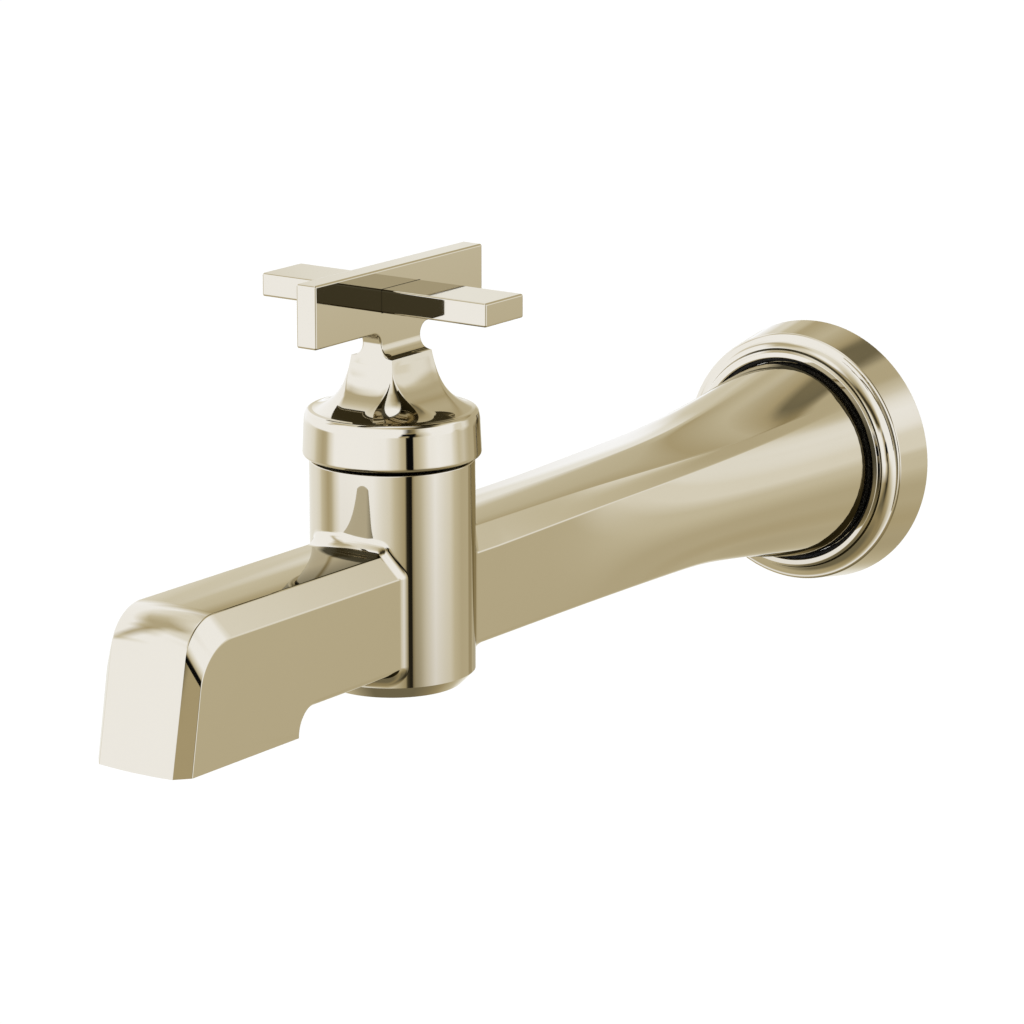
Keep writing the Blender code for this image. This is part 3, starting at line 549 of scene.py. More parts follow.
def add_screw_patch(skin, backs, columns, screw_back):
    """The arm's underside around the set screw's hole, as a sheet over (place across, distance back)."""
    slope = (COLLAR_ANGLES[1] - COLLAR_ANGLES[0]) / LENGTH[nearest(HALF_WIDTH, UNDERSIDE)]

    def lift(flat):
        across, back = flat.T
        zero = 0 * across
        angle = np.abs(across) * slope - 90.0
        sense = np.stack([np.where(across < 0, -1.0, 1.0), zero + 1, zero + 1], 1)
        points, normals = arm_surface(
            np.abs(across), zero + UNDERSIDE, zero, zero - 1, angle, zero + slope, back)
        return points * sense, normals * sense
    edge = columns[-1]
    hole = []
    for across, back in circle((0.0, screw_back), SCREW_HOLE_R, 48):
        tries = np.linspace(-edge, edge, 2001)
        reached = lift(np.stack([tries, np.full(len(tries), back)], 1))[0][:, 0]
        hole.append((np.interp(across, reached, tries), back))
    hole = np.array(hole)
    loop = frame_loop(np.concatenate([-columns[:0:-1], columns]), backs)
    skin.sheet([loop, hole], lift, 1.6)
    floor_z = low_mm("inlet_adapter")[2] - SCREW_FLOOR_GAP
    skin.blind_hole(ringed(lift(hole)[0]), AXIS + screw_back * Y + floor_z * Z, -Z)


def add_barrel(skin, front, rear):
    """Cylinder between the two fillets, then its chamfered foot, its top and the bores inside it."""
    top, foot, clear = BARREL_TOP - BARREL_ROUND, BARREL_BOTTOM + BARREL_CHAMFER, 0.4
    crown = int(np.argmax(SECTION[:, 1]))
    start = int(np.flatnonzero(np.abs(front[:crown, 2] - foot) < 1e-6)[-1])

    def turns_of(contact):
        return np.arctan2(np.abs(contact[:, 0]), AXIS[1] - contact[:, 1])
    ahead, behind = (np.stack([turns_of(contact) * BARREL_R, contact[:, 2]], 1)[start:crown + 1]
                     for contact in (front, rear))
    top_turns = np.linspace(0, math.pi, 49)
    along = top_turns * BARREL_R
    foot_turns = top_turns[(along > ahead[0, 0] + clear) & (along < behind[0, 0] - clear)]
    loop = np.concatenate([
        ahead, [(0.0, z) for z in np.linspace(ahead[-1, 1], top, 6)[1:-1]],
        np.stack([along, 0 * along + top], 1),
        [(math.pi * BARREL_R, z) for z in np.linspace(top, behind[-1, 1], 6)[1:-1]],
        behind[::-1], np.stack([foot_turns[::-1] * BARREL_R, 0 * foot_turns + foot], 1)])
    for side in (1, -1):
        def lift(points, side=side):
            turn = points[:, 0] / BARREL_R
            radial = np.stack([side * np.sin(turn), -np.cos(turn), 0 * turn], 1)
            return AXIS + BARREL_R * radial + points[:, 1:] * Z, radial
        skin.sheet([loop], lift, 1.9)
    under = turns_of(front[:start + 1])
    half = np.concatenate([under, foot_turns, math.pi - under[::-1]])
    turns = np.concatenate([-half[:0:-1], half])
    base = rounded([(0, BARREL_BOTTOM, 0), (BARREL_R - BARREL_CHAMFER, BARREL_BOTTOM, 0.25),
                    (BARREL_R, foot, 0)], closed=False)
    spin(skin, base, AXIS, Z, turns, -Y)
    mouth = rounded([(BARREL_R, top, 0), (BARREL_R, BARREL_TOP, BARREL_ROUND),
                     (CARTRIDGE_BORE_R, BARREL_TOP, 0.2), (CARTRIDGE_BORE_R, SEAT_Z, 0),
                     (CHAMBER_R, SEAT_Z, 0), (CHAMBER_R, CHAMBER_BOTTOM, 0), (0, CHAMBER_BOTTOM, 0)],
                    closed=False)
    spin(skin, mouth, AXIS, Z, np.concatenate([-top_turns[:0:-1], top_turns]), -Y)


def make_body():
    skin = Skin()
    contacts = {}
    for way in (-1, 1):
        points, normals = fillet(way)
        skin.grid(points, normals)
        contacts[way] = points
    add_spout(skin, contacts[-1][0])
    add_arm(skin, contacts[1][0])
    add_barrel(skin, contacts[-1][-1], contacts[1][-1])
    skin.piece("body", "fixed", "polished_nickel")


# ---------------------------------------------------------------- handle

def trumpet_width(z):
    """Half-width of the hub's trumpet on its diagonal: a hyperbola from the skirt to the neck."""
    return NECK_HALF @ DIAGONAL + TRUMPET_SPREAD * (1 / (z - TRUMPET_FLAT_Z) - 1 / (NECK_Z - TRUMPET_FLAT_Z))


def trumpet_level(z):
    """Half-sizes and corner radius of the rounded oblong at a height. It opens into a circle below."""
    opened = np.clip((NECK_Z - z) / (NECK_Z - TRUMPET_FOOT), 0, 1) ** TRUMPET_OPENING
    width = trumpet_width(z)
    half = NECK_HALF / (NECK_HALF @ DIAGONAL) * width
    half = half + (width - half) * opened
    radius = width * opened
    support = (half - radius) @ DIAGONAL + radius
    return half * width / support, radius * width / support


def add_trumpet(skin):
    """Four corner arcs and, between them, faces that bulge a little where the section is still square."""
    signs = np.array(((1, 1), (-1, 1), (-1, -1), (1, -1)))
    face = np.linspace(0, 1, 9)[1:-1, None]

    def ring(z):
        half, radius = trumpet_level(z)
        bulge = 4 * FACE_BULGE * np.clip(1 - radius / 4, 0, 1) * np.clip((NECK_Z - z) / 1.5, 0, 1)
        at = face if z < NECK_Z else np.round(face)
        points, tangents = [], []
        for i, corner in enumerate(signs * (half - radius)):
            turns = np.linspace(0, math.pi / 2, 25) + i * math.pi / 2
            radial = np.stack([np.cos(turns), np.sin(turns)], 1)
            arc, along, outward = corner + radius * radial, radial[:, ::-1] * (-1, 1), radial[-1]
            run = signs[(i + 1) % 4] * (half - radius) + radius * outward - arc[-1]
            points += [arc, arc[-1] + at * run + bulge * at * (1 - at) * outward]
            tangents += [along, run + 1e-6 * along[-1] + bulge * (1 - 2 * face) * outward]
        points, tangents = ringed(np.concatenate(points)), ringed(np.concatenate(tangents))
        level = np.zeros((len(points), 1))
        return np.concatenate([points, level + z], 1) + AXIS, np.concatenate([tangents, level], 1)
    rows, normals = [], []
    for z in TRUMPET_FOOT + (NECK_Z - TRUMPET_FOOT) * np.linspace(0, 1, 41) ** 1.5:
        points, tangent = ring(z)
        rows.append(points)
        near = min(max(z, TRUMPET_FOOT + 0.002), NECK_Z - 0.002)
        normals.append(unit(np.cross(tangent, ring(near + 0.001)[0] - ring(near - 0.001)[0])))
    skin.grid(np.stack(rows), np.stack(normals))


def add_skirt(skin):
    """Bore, skirt wall with the set screw's hole at the back, and the shoulder up to the trumpet's foot."""
    wall_low = RING_BOTTOM + 0.9
    inside_part = rounded([(0, SPLINE_TOP, 0), (SPLINE_R, SPLINE_TOP, 0), (SPLINE_R, RECESS_TOP, 0),
                           (RECESS_R, RECESS_TOP, 0.2), (RECESS_R, RING_BOTTOM, 0.15),
                           (RING_R, RING_BOTTOM, 0.75), (RING_R, wall_low, 0)], closed=False)
    spin(skin, inside_part, AXIS)
    side = rounded([(RING_R, wall_low, 0), *SHOULDER, (trumpet_width(TRUMPET_FOOT), TRUMPET_FOOT, 0)],
                   closed=False)
    top = len(side) - 2
    spin(skin, side[top:], AXIS)
    sector = math.radians(18.75)
    spin(skin, side[:top + 1], AXIS, Z, np.linspace(math.pi / 2 + sector, math.pi * 2.5 - sector, 87))
    length = lengths(side[:top + 1])
    screw_z = (low_mm("handle_set_screw")[2] + high_mm("handle_set_screw")[2]) / 2
    turns = math.pi / 2 + np.linspace(-sector, sector, 11)
    loop = frame_loop(turns * RING_R, length)
    ring = circle((0.0, screw_z), HUB_SCREW_HOLE_R, 48)
    at = np.interp(ring[:, 1], side[:top + 1, 1], length)
    reach = np.interp(at, length, side[:top + 1, 0])
    hole = np.stack([(math.pi / 2 - np.arcsin(ring[:, 0] / reach)) * RING_R, at], 1)

    def lift(flat):
        turn = flat[:, :1] / RING_R
        radius, height, out, up = (np.interp(flat[:, 1:], length, side[:top + 1, k]) for k in range(4))
        radial = np.concatenate([np.cos(turn), np.sin(turn), 0 * turn], 1)
        return AXIS + radius * radial + height * Z, unit(out * radial + up * Z)
    skin.sheet([loop, hole], lift, 1.0)
    skin.blind_hole(ringed(lift(hole)[0]), AXIS + HUB_SCREW_HOLE_END * Y + screw_z * Z, Y)


def add_web(skin):
    """Neck top to blade: quarter-round scoops on the two X sides between flat Y faces."""
    radius = WEB_TOP - NECK_Z
    start = math.acos((NECK_HALF[0] - BLADE_HALF - radius) / radius)
    turns = np.linspace(-start, -math.pi, 17)
    x, z = BLADE_HALF + radius + radius * np.cos(turns), WEB_TOP + radius * np.sin(turns)
    z[0] = NECK_Z
    nx, nz = -np.cos(turns), -np.sin(turns)
    edge = np.minimum(BAR_EDGE, 0.8 * (z - NECK_Z))
    cap = np.stack([x - nx * edge, z - nz * edge], 1)
    loop = np.concatenate([cap, cap[::-1] * (-1, 1)])
    for side in (1, -1):
        plane, normal = np.stack([side * x, 0 * x, z], 1), np.stack([side * nx, 0 * nx, nz], 1)
        add_rim(skin, AXIS + plane, normal, Y, NECK_HALF[1], edge)
        skin.flat([loop], AXIS + side * NECK_HALF[1] * Y, X, Z, side * Y)


def add_blade(skin):
    """Blade with its window for the crossbar, and the fillets that carry it on the web."""
    reach, web_y = high_mm("handle_hub")[1] - AXIS[1], NECK_HALF[1]
    right = [(web_y, WEB_TOP, 0), (web_y, BLADE_LOW, BLADE_LOW - WEB_TOP), (reach, BLADE_LOW, BAR_EDGE),
             (reach, BLADE_HIGH, BAR_EDGE)]
    left = [(-y, z, radius) for y, z, radius in reversed(right)]
    (y_low, z_low), (y_high, z_high) = (BAR_LOW - AXIS - FIT)[1:], (BAR_HIGH - AXIS + FIT)[1:]
    window = np.array([(y_low, z_low), (y_high, z_low), (y_high, z_high), (y_low, z_high)])
    add_slab(skin, rounded(right + left, closed=False), AXIS, (Y, Z, X), BLADE_HALF, [window])
    skin.walls(window, AXIS - BLADE_HALF * X, Y, Z, 2 * BLADE_HALF * X)


def make_hub():
    skin = Skin()
    add_skirt(skin)
    add_trumpet(skin)
    add_web(skin)
    add_blade(skin)
    skin.piece("handle_hub", "handle", "polished_nickel")


def make_crossbar():
    skin = Skin()
    x, y, half = (BAR_HIGH - BAR_LOW) / 2
    corners = [(x, -y, BAR_EDGE), (x, y, BAR_EDGE), (-x, y, BAR_EDGE), (-x, -y, BAR_EDGE)]
    add_slab(skin, rounded(corners), AXIS + (BAR_HIGH[2] + BAR_LOW[2]) / 2 * Z, (X, Y, Z), half)
    skin.piece("handle_crossbar", "handle", "polished_nickel")


# ---------------------------------------------------------------- turned pieces

def make_turned(node, corners, centre, axis, body, slot, turns=96):
    skin = Skin()
    spin(skin, rounded(corners), centre, axis, turns)
    skin.piece(node, body, slot)


def make_flange():
    """Escutcheon with a cove under its front band, and a groove in its mouth for the O-ring."""
    rim_r, lip_r, back_r, front = 30.4, 23.6, 27.6, 13.4
    corners = [(rim_r, 0, 0.15), (rim_r - 1.5, 9.75, 0.6), (28.45, 9.95, 0.12), (25.45, 9.95, 2.75),
               (25.45, 12.9, 0.12), (24.95, front, 0.3), (lip_r, front, 0.35), (lip_r, 12.3, 0),
               (lip_r + 0.9, 12.3, 0), (lip_r + 0.9, 10.5, 0), (lip_r, 10.5, 0), (lip_r, 5.2, 0),
               (back_r, 5.2, 0.4), (back_r, 0, 0.2)]
    make_turned("wall_flange", corners, ORIGIN, -Y, "fixed", "polished_nickel", 144)


def make_nipple():
    """Pipe nipple with a true helical thread that runs out at both ends."""
    skin = Skin()
    crest, depth, pitch, bore, chamfer = high_mm("inlet_nipple")[0], 1.05, 1.814, 7.6, 0.9
    root = crest - depth
    start, end = -high_mm("inlet_nipple")[1], -low_mm("inlet_nipple")[1]
    low, high = start + chamfer, end - chamfer

    def radius(turn, height):
        phase = ((height / pitch - turn / math.tau) % 1.0) * 2 - 1
        tooth = np.clip(1.25 - 1.5 * np.abs(phase), 0, 1)
        run_out = np.clip((np.minimum(height - low, high - height)) / (1.6 * pitch), 0, 1)
        return root + depth * tooth * run_out
    turns, heights = np.meshgrid(math.tau * np.arange(73) / 72, np.linspace(low, high, 211))
    step = 0.01
    by_turn = (radius(turns + step, heights) - radius(turns - step, heights)) / (2 * step)
    by_height = (radius(turns, heights + step) - radius(turns, heights - step)) / (2 * step)
    reach = radius(turns, heights)
    out = np.stack([np.cos(turns), 0 * turns, np.sin(turns)], -1)
    along = np.stack([-np.sin(turns), 0 * turns, np.cos(turns)], -1)
    skin.grid(reach[..., None] * out - heights[..., None] * Y,
              unit(out - (by_turn / reach)[..., None] * along + by_height[..., None] * Y))
    face = root - 0.5
    back = rounded([(bore, start, 0.3), (face, start, 0), (root, low, 0)], closed=False)
    front = rounded([(root, high, 0), (face, end, 0), (bore, end, 0.3), (bore, start, 0.3)], closed=False)
    wall = np.array([front[-2], back[0]])
    wall[:, 2:] = (-1, 0)
    for outline in (back, front[:-1], wall):
        spin(skin, outline, ORIGIN, -Y, 72)
    skin.piece("inlet_nipple", "fixed", "raw_brass")


def make_adapter():
    """Brass sleeve with two O-ring grooves outside and room for the nipple inside."""
    outer, start, end = high_mm("inlet_adapter")[0], -high_mm("inlet_adapter")[1], -low_mm("inlet_adapter")[1]
    half, bottom, bore, nipple_r, nipple_end = 0.9, outer - 1.2, 7.4, 10.75, 26.4
    corners = [(outer, start, 0.5)]
    for groove in (14.0, 28.5):
        corners += [(outer, groove - half, 0.1), (bottom, groove - half, 0.1),
                    (bottom, groove + half, 0.1), (outer, groove + half, 0.1)]
    corners += [(outer, end, 0.8), (bore, end, 0.3), (bore, nipple_end, 0.1), (nipple_r, nipple_end, 0.1),
                (nipple_r, start, 0.5)]
    make_turned("inlet_adapter", corners, ORIGIN, -Y, "fixed", "raw_brass")


def make_flange_o_ring():
    """O-ring that fills the gap between collar and flange, so that the open back can't be seen through it."""
    thickness, height = 0.83, 11.4
    ring = np.concatenate([circle((COLLAR_R + 0.87, height), thickness, 24), circle((0, 0), 1, 24)], 1)
    skin = Skin()
    spin(skin, ringed(ring), ORIGIN, -Y)
    skin.piece("flange_o_ring", "fixed", "black_rubber")


def make_set_screw(node, along, axis, key_r, body):
    """Socket screw lying along one of the frame's axes, its hexagon socket at the end that faces out."""
    low, high = low_mm(node), high_mm(node)
    centre, size = (low + high) / 2, high - low
    half, radius, chamfer, key_depth = size[along] / 2, np.delete(size / 2, along).max(), 0.3, 2.4
    side = np.cross(axis, X)
    skin = Skin()
    shell = rounded([(0, -half, 0), (radius - chamfer, -half, 0), (radius, chamfer - half, 0),
                     (radius, half - chamfer, 0), (radius - chamfer, half, 0)], closed=False)
    spin(skin, shell, centre, axis, 48)
    hexagon = circle((0, 0), key_r, 6)
    bottom = centre + (half - key_depth) * axis
    skin.flat([circle((0, 0), radius - chamfer, 48), hexagon], centre + half * axis, X, side, axis)
    skin.flat([hexagon], bottom, X, side, axis)
    skin.walls(hexagon, bottom, X, side, key_depth * axis)
    skin.piece(node, body, "stainless_steel")


def make_aerator_housing():
    outer, inner, lip, step = 9.1, 8.2, 7.4, 1.0
    top, bottom = high_mm("aerator_housing")[2], low_mm("aerator_housing")[2]
    corners = [(outer, bottom, 0.25), (outer, top, 0.15), (inner, top, 0.1), (inner, bottom + step, 0.1),
               (lip, bottom + step, 0.1), (lip, bottom, 0.25)]
    make_turned("aerator_housing", corners, OUTLET, Z, "fixed", "polished_nickel")


def make_aerator_grid():
    """Round plate whose water passages are a honeycomb of round holes."""
    skin = Skin()
    (_, _, low), (radius, _, high) = low_mm("aerator_grid"), high_mm("aerator_grid")
    pitch, hole_r, border, reach = 2.3, 0.85, 1.2, range(-3, 4)
    spots = [(pitch * (i + j / 2), pitch * j * math.sqrt(0.75)) for i in reach for j in reach]
    holes = [circle(spot, hole_r, 16) for spot in spots if math.hypot(*spot) < radius - border]
    for height, normal in ((low, -Z), (high, Z)):
        skin.flat([circle((0, 0), radius, 72), *holes], OUTLET + height * Z, X, Y, normal)
    spin(skin, np.array([(radius, low, 1, 0), (radius, high, 1, 0)]), OUTLET, Z, 72)
    for hole in holes:
        ring, middle = (OUTLET + part @ np.stack([X, Y]) for part in (ringed(hole), hole.mean(axis=0)))
        inward = unit(middle - ring)
        skin.grid(np.stack([ring + low * Z, ring + high * Z]), inward[None])
    skin.piece("aerator_grid", "fixed", "white_plastic")


# ---------------------------------------------------------------- materials

def spread(tree, value, low, high, start=0.0, end=1.0):
    """The value moved from the range low to high into the range start to end."""
    node = tree.nodes.new("ShaderNodeMapRange")
    for name, setting in (("From Min", low), ("From Max", high), ("To Min", start), ("To Max", end)):
        node.inputs[name].default_value = setting
    tree.links.new(value, node.inputs["Value"])
    return node.outputs["Result"]


def ramp(tree, azimuth, panels, shades):
    """Colour by azimuth, from panels as SURROUNDINGS states them."""
    made = tree.nodes.new("ShaderNodeValToRGB")
    tree.links.new(spread(tree, azimuth, -180.0, 180.0), made.inputs["Fac"])
    points = made.color_ramp.elements
    points.remove(points[1])
    stops = [((at + 180.0) / 360.0, (*shades[shade], 1.0)) for shade, *azimuths in panels for at in azimuths]
    points[0].color = stops[0][1]
    for at, colour in stops[1:]:
        points.new(at).color = colour
    return made.outputs["Color"]


def maths(tree, operation, *values):
    node = tree.nodes.new("ShaderNodeMath")
    node.operation = operation
    for socket, value in zip(node.inputs, values):
        if isinstance(value, (int, float)):
            socket.default_value = value
        else:
            tree.links.new(value, socket)
    return node.outputs["Value"]


def mixed(tree, share, a, b, way="MIX"):
    node = tree.nodes.new("ShaderNodeMix")
    node.data_type = "RGBA"
    node.blend_type = way
    for name, value in (("Factor", share), ("A", a), ("B", b)):
        if isinstance(value, tuple):
            node.inputs[name].default_value = (*value, 1.0)
        else:
            tree.links.new(value, node.inputs[name])
    return node.outputs["Result"]


def finish(name, metallic, roughness, scale, relief, *colours):
    """Principled finish whose colour, gloss and relief wander with noise. Scale is in features per metre."""
    made = bpy.data.materials.new(name)
    made.use_nodes = True
    nodes, links = made.node_tree.nodes, made.node_tree.links
    shader = nodes["Principled BSDF"]
    shader.inputs["Metallic"].default_value = metallic
    place = nodes.new("ShaderNodeTexCoord")

    def noise(at, detail):
        texture = nodes.new("ShaderNodeTexNoise")
        texture.inputs["Scale"].default_value = at
        texture.inputs["Detail"].default_value = detail
        links.new(place.outputs["Object"], texture.inputs["Vector"])
        return texture.outputs["Fac"]
    links.new(mixed(made.node_tree, noise(scale, 3.0), *colours), shader.inputs["Base Color"])
    gloss = spread(made.node_tree, noise(scale * 2.7, 4.0), 0.35, 0.65, *roughness)
    links.new(gloss, shader.inputs["Roughness"])
    if relief:
        bump = nodes.new("ShaderNodeBump")
        bump.inputs["Strength"].default_value = 1.0
        bump.inputs["Distance"].default_value = relief
        links.new(noise(scale * 8.0, 2.0), bump.inputs["Height"])
        links.new(bump.outputs["Normal"], shader.inputs["Normal"])
    return made


# Slot: metallic, roughness from and to, scale, relief in metres, two colours.
FINISHES = {slot: finish(slot + "_finish", *values) for slot, values in {
    "polished_nickel": (1.0, (0.02, 0.05), 45.0, 0.0, (0.775, 0.725, 0.625), (0.755, 0.705, 0.6)),
    "raw_brass": (1.0, (0.2, 0.34), 160.0, 6e-6, (0.66, 0.48, 0.22), (0.56, 0.39, 0.17)),
    "stainless_steel": (1.0, (0.2, 0.32), 200.0, 4e-6, (0.56, 0.56, 0.56), (0.48, 0.48, 0.49)),
    "black_rubber": (0.0, (0.55, 0.75), 260.0, 5e-6, (0.012, 0.012, 0.012), (0.02, 0.02, 0.019)),
    "white_ceramic": (0.0, (0.25, 0.4), 180.0, 3e-6, (0.85, 0.84, 0.8), (0.8, 0.79, 0.75)),
    "white_plastic": (0.0, (0.35, 0.5), 220.0, 8e-6, (0.76, 0.76, 0.74), (0.7, 0.7, 0.68)),
    "grey_plastic": (0.0, (0.4, 0.55), 220.0, 8e-6, (0.26, 0.27, 0.28), (0.22, 0.23, 0.24)),
    "black_plastic": (0.0, (0.4, 0.6), 220.0, 8e-6, (0.012, 0.012, 0.012), (0.02, 0.02, 0.02)),
}.items()}


def dress_cad_nodes():
    """Gives every carried-over CAD node the finish of its own slot."""
    for subpart in frame["record"]["subparts"]:
        obj = frame["nodes"][subpart["node"]]
        obj.data.materials.clear()
        obj.data.materials.append(FINISHES[subpart["material_slot"]])


# ---------------------------------------------------------------- studio

CAMERA_ANGLES = (35.38, 13.86)
CAMERA_AT = (0.56089, -0.91193, 0.24832)
CAMERA_LENS = 165.3


def make_camera():
    data = bpy.data.cameras.new("camera")
    data.lens, data.sensor_width = CAMERA_LENS, 36.0
    data.clip_start, data.clip_end = 0.01, 100.0
    camera = bpy.data.objects.new("camera", data)
    azimuth, elevation = (math.radians(angle) for angle in CAMERA_ANGLES)
    camera.location = CAMERA_AT
    camera.rotation_euler = (math.pi / 2 - elevation, 0.0, azimuth)
    bpy.context.scene.collection.objects.link(camera)
    bpy.context.scene.camera = camera


def make_floor():
    """Pale matt floor well below the object. The metal doesn't reflect it."""
    reach, level = 8.0, -0.45
    mesh = bpy.data.meshes.new("floor")
    corners = [(-reach, -reach, level), (reach, -reach, level), (reach, reach, level), (-reach, reach, level)]
    mesh.from_pydata(corners, [], [(0, 1, 2, 3)])
    floor = bpy.data.objects.new("floor", mesh)
    pale = bpy.data.materials.new("pale_floor")
    pale.use_nodes = True
    shader = pale.node_tree.nodes["Principled BSDF"]
    shader.inputs["Base Color"].default_value = (0.97, 0.97, 0.97, 1.0)
    shader.inputs["Roughness"].default_value = 0.9
    shader.inputs["Specular IOR Level"].default_value = 0.0
    mesh.materials.append(pale)
    floor.visible_glossy = False
    bpy.context.scene.collection.objects.link(floor)


# Ten shades of warm light, from black to the brightest panel.
SHADES = ((0.004, 0.004, 0.004), (0.05, 0.042, 0.024), (0.19, 0.165, 0.1), (0.33, 0.27, 0.145),
          (0.475, 0.405, 0.245), (0.55, 0.49, 0.335), (0.67, 0.62, 0.47), (0.86, 0.84, 0.76),
          (0.93, 0.93, 0.9), (1.09, 1.12, 1.19))
# The studio that the metal reflects, by direction: rows of (elevation, panels), lowest first. A panel is
# (shade, azimuth) or (shade, first azimuth, last azimuth), in degrees, 0 towards -Y and 90 towards +X. Shades
# blend from panel to panel and from row to row.
SURROUNDINGS = (
    (-68.0, (2, -180, 180)),
    (-50.0, (3, -180), (4, -160), (5, -130, -60), (4, -30), (3, -10, 180)),
    (-40.0, (5, -180, -40), (4, -28), (3, -10, 30), (2, 60, 100), (3, 115), (4, 135, 150), (5, 165, 180)),
    (-30.0, (6, -180, -165), (7, -150, -120), (6, -70), (5, -48), (4, -25), (3, -8), (4, 15, 35), (3, 50),
        (1, 66), (2, 84), (3, 100), (4, 120), (5, 140, 180)),
    (-22.0, (5, -180), (7, -160, -110), (5, -60, -35), (6, -20), (7, -5), (6, 20), (5, 40), (3, 52),
        (1, 60, 72), (3, 84), (4, 100), (5, 120, 180)),
    (-12.5, (5, -180), (3, -168, -158), (7, -154), (8, -130, -95), (7, -84), (6, -78), (4, -64), (5, -57),
        (7, -50), (9, -40, 10), (8, 24), (7, 33), (6, 40), (5, 48), (4, 54.6), (0, 55.2, 63.4), (3, 64.2),
        (5, 68), (6, 76), (7, 84), (9, 98), (8, 114), (7, 124), (6, 133), (5, 148, 166), (3, 169, 180)),
    (-7.0, (5, -180), (3, -168, -158), (7, -152), (9, -120), (8, -90), (7, -80), (6, -74), (5, -64, -58),
        (7, -51), (9, -43, 28), (8, 37), (7, 43), (6, 48), (5, 54), (0, 54.8, 63.4), (5, 64.2), (6, 71),
        (7, 78), (9, 85, 118), (7, 124), (6, 132), (7, 142), (5, 154, 166), (3, 180)),
    (-4.0, (5, -180, -165), (7, -150), (9, -143, 44), (4, 47, 57.4), (0, 58, 65), (3, 70), (7, 80),
        (9, 90, 120), (6, 128), (7, 138, 146), (5, 158, 180)),
    (-0.8, (5, -180, -160), (7, -148), (9, -143), (7, -141), (9, -130, 44), (4, 47, 57.4), (0, 58, 65),
        (3, 70), (7, 80), (9, 90, 120), (7, 127, 138), (8, 141, 146), (5, 158, 180)),
    (0.0, (5, -180, -160), (7, -148), (9, -143), (6, -140), (7, -136), (9, -130, 46), (0, 49.5, 66), (3, 70),
        (7, 80), (9, 90, 120), (7, 127, 138), (8, 141, 146), (5, 158, 180)),
    (6.2, (5, -180, -160), (7, -148), (9, -143), (6, -140), (7, -136), (9, -130, 48), (0, 50, 67), (5, 69),
        (7, 79), (9, 88, 121), (7, 127, 138), (8, 141, 146), (5, 158, 180)),
    (9.0, (5, -180, -155), (7, -147), (8, -143), (6, -140), (7, -136), (9, -130, 49), (3, 56, 66), (5, 69),
        (7, 78), (9, 86, 124), (7, 130), (8, 138, 145), (5, 158, 180)),
    (14.0, (5, -180, -150), (8, -147, -143), (6, -140), (7, -136), (9, -130, -64), (6, -57), (8, -50),
        (9, -38, 50), (1, 58), (3, 66), (7, 75), (9, 85, 128), (8, 134, 143), (6, 149), (5, 160, 180)),
    (18.0, (5, -180, -155), (6, -142), (7, -136), (9, -130, -64), (6, -57), (9, -49, 48), (6, 58), (5, 66),
        (7, 78), (9, 87, 130), (8, 136, 143), (6, 147), (5, 156, 180)),
    (23.0, (5, -180, -155), (6, -140), (9, -130, -64), (5, -57), (9, -48, 40), (6, 50), (3, 62), (1, 70),
        (3, 86), (6, 98), (9, 108, 132), (8, 139), (7, 143), (6, 148), (5, 156, 180)),
    (26.5, (3, -180), (4, -155, -146), (6, -141), (9, -130, -64), (5, -57), (9, -47, 30), (7, 45), (5, 54),
        (3, 64), (1, 72, 90), (5, 100), (8, 110), (9, 130), (8, 140), (6, 146), (5, 155), (4, 168),
        (3, 180)),
    (33.0, (4, -180), (5, -165, -148), (6, -138), (9, -125, -66), (5, -57), (8, -46), (9, -38), (8, 20),
        (7, 40), (5, 52), (3, 63), (1, 72, 94), (5, 103), (7, 112), (8, 124, 136), (6, 143), (5, 154, 168),
        (4, 180)),
    (39.0, (4, -180), (5, -172), (6, -145), (9, -125, -76), (6, -66), (4, -56), (7, -49), (9, -40, -20),
        (8, 10), (7, 35), (5, 50), (3, 62), (1, 72, 96), (3, 106), (6, 116), (7, 128, 138), (5, 147, 168),
        (4, 180)),
    (45.0, (3, -180), (4, -170), (5, -155), (9, -130), (8, -108), (7, -92), (6, -78), (5, -60, -53),
        (8, -44, -20), (7, 10), (6, 32), (5, 50), (3, 68), (1, 80, 104), (5, 118), (6, 132), (5, 142, 165),
        (3, 174, 180)),
    (47.5, (2, -180, -174), (4, -166), (5, -155), (8, -130, -108), (6, -90), (5, -76, -56), (7, -46),
        (8, -38, -10), (7, 12), (6, 32), (5, 50), (3, 68), (1, 80, 108), (5, 120), (6, 130), (5, 142, 155),
        (2, 163, 180)),
    (57.0, (3, -180, -166), (5, -150), (7, -130, -110), (6, -88), (5, -66, -46), (7, -34), (8, -15), (7, 10),
        (6, 32), (5, 50), (3, 70), (1, 88, 112), (3, 124), (5, 140), (3, 155, 180)),
    (68.0, (5, -180), (7, -130, -60), (8, -20), (7, 20), (6, 44), (5, 70), (6, 90), (3, 120, 150), (5, 180)),
    (80.0, (9, -180, 180)))
# What a second reflection sees is darkened by azimuth, and fully dark beyond two ranges of elevation.
INNER = ((0.09, 0.085, 0.062), (0.6, 0.56, 0.44))
INNER_SHARE = ((1, -180, 3), (0, 20, 60), (1, 110, 180))
INNER_HIGH, INNER_LOW = (20.0, 32.0), (-22.0, -35.0)
FIRST_BOUNCE = 2.5
BACKDROP = (1.06, 1.06, 1.06)


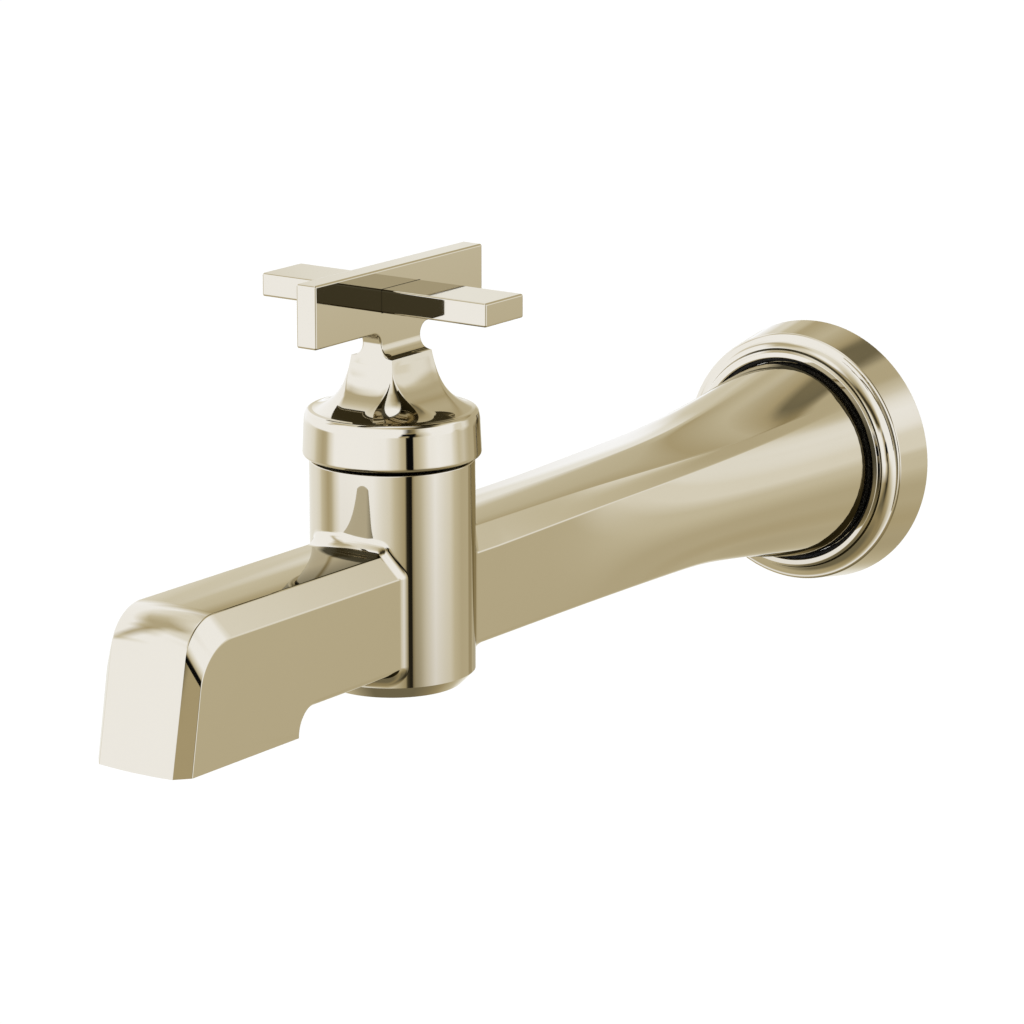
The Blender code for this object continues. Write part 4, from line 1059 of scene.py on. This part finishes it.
def make_world():
    """White for the eye and the floor; for the polished metal, a studio of soft panels with darker gaps."""
    world = bpy.data.worlds.new("studio")
    bpy.context.scene.world = world
    world.use_nodes = True
    tree = world.node_tree
    place = tree.nodes.new("ShaderNodeTexCoord")
    split = tree.nodes.new("ShaderNodeSeparateXYZ")
    tree.links.new(place.outputs["Generated"], split.inputs["Vector"])
    x, y, z = (split.outputs[name] for name in "XYZ")
    around = maths(tree, "DEGREES", maths(tree, "ARCTAN2", x, maths(tree, "MULTIPLY", y, -1.0)))
    above = maths(tree, "DEGREES", maths(tree, "ARCSINE", z))
    colour = ramp(tree, around, SURROUNDINGS[0][1:], SHADES)
    for (level, *_), (next_level, *panels) in zip(SURROUNDINGS, SURROUNDINGS[1:]):
        row = ramp(tree, around, panels, SHADES)
        colour = mixed(tree, spread(tree, above, level, next_level), colour, row)
    share = ramp(tree, around, INNER_SHARE, INNER)
    for limits in (INNER_HIGH, INNER_LOW):
        share = mixed(tree, spread(tree, above, *limits), share, INNER[0])
    rays = tree.nodes.new("ShaderNodeLightPath")
    inner = maths(tree, "GREATER_THAN", rays.outputs["Ray Depth"], FIRST_BOUNCE)
    reflected = mixed(tree, inner, colour, share, "MULTIPLY")
    shown = mixed(tree, rays.outputs["Is Glossy Ray"], BACKDROP, reflected)
    tree.links.new(shown, tree.nodes["Background"].inputs["Color"])
    bpy.context.scene.view_settings.view_transform = "Standard"


make_camera()
make_floor()
make_world()
dress_cad_nodes()
make_body()
make_hub()
make_crossbar()
make_flange()
make_nipple()
make_adapter()
make_aerator_housing()
make_aerator_grid()
make_set_screw("body_set_screw", 2, -Z, 1.25, "fixed")
make_set_screw("handle_set_screw", 1, Y, 0.9, "handle")
for node, inner, outer, bottom, top, edge, centre, axis, slot in (
        ("wall_gasket", 24.3, 27.2, 0, 4.8, 0.4, ORIGIN, -Y, "black_rubber"),
        ("glide_ring", 13.9, 15.2, 29.7, 31.6, 0.2, AXIS, Z, "black_plastic")):
    corners = [(inner, bottom, edge), (outer, bottom, edge), (outer, top, edge), (inner, top, edge)]
    make_turned(node, corners, centre, axis, "fixed", slot)
make_flange_o_ring()

bpy.context.view_layer.update()
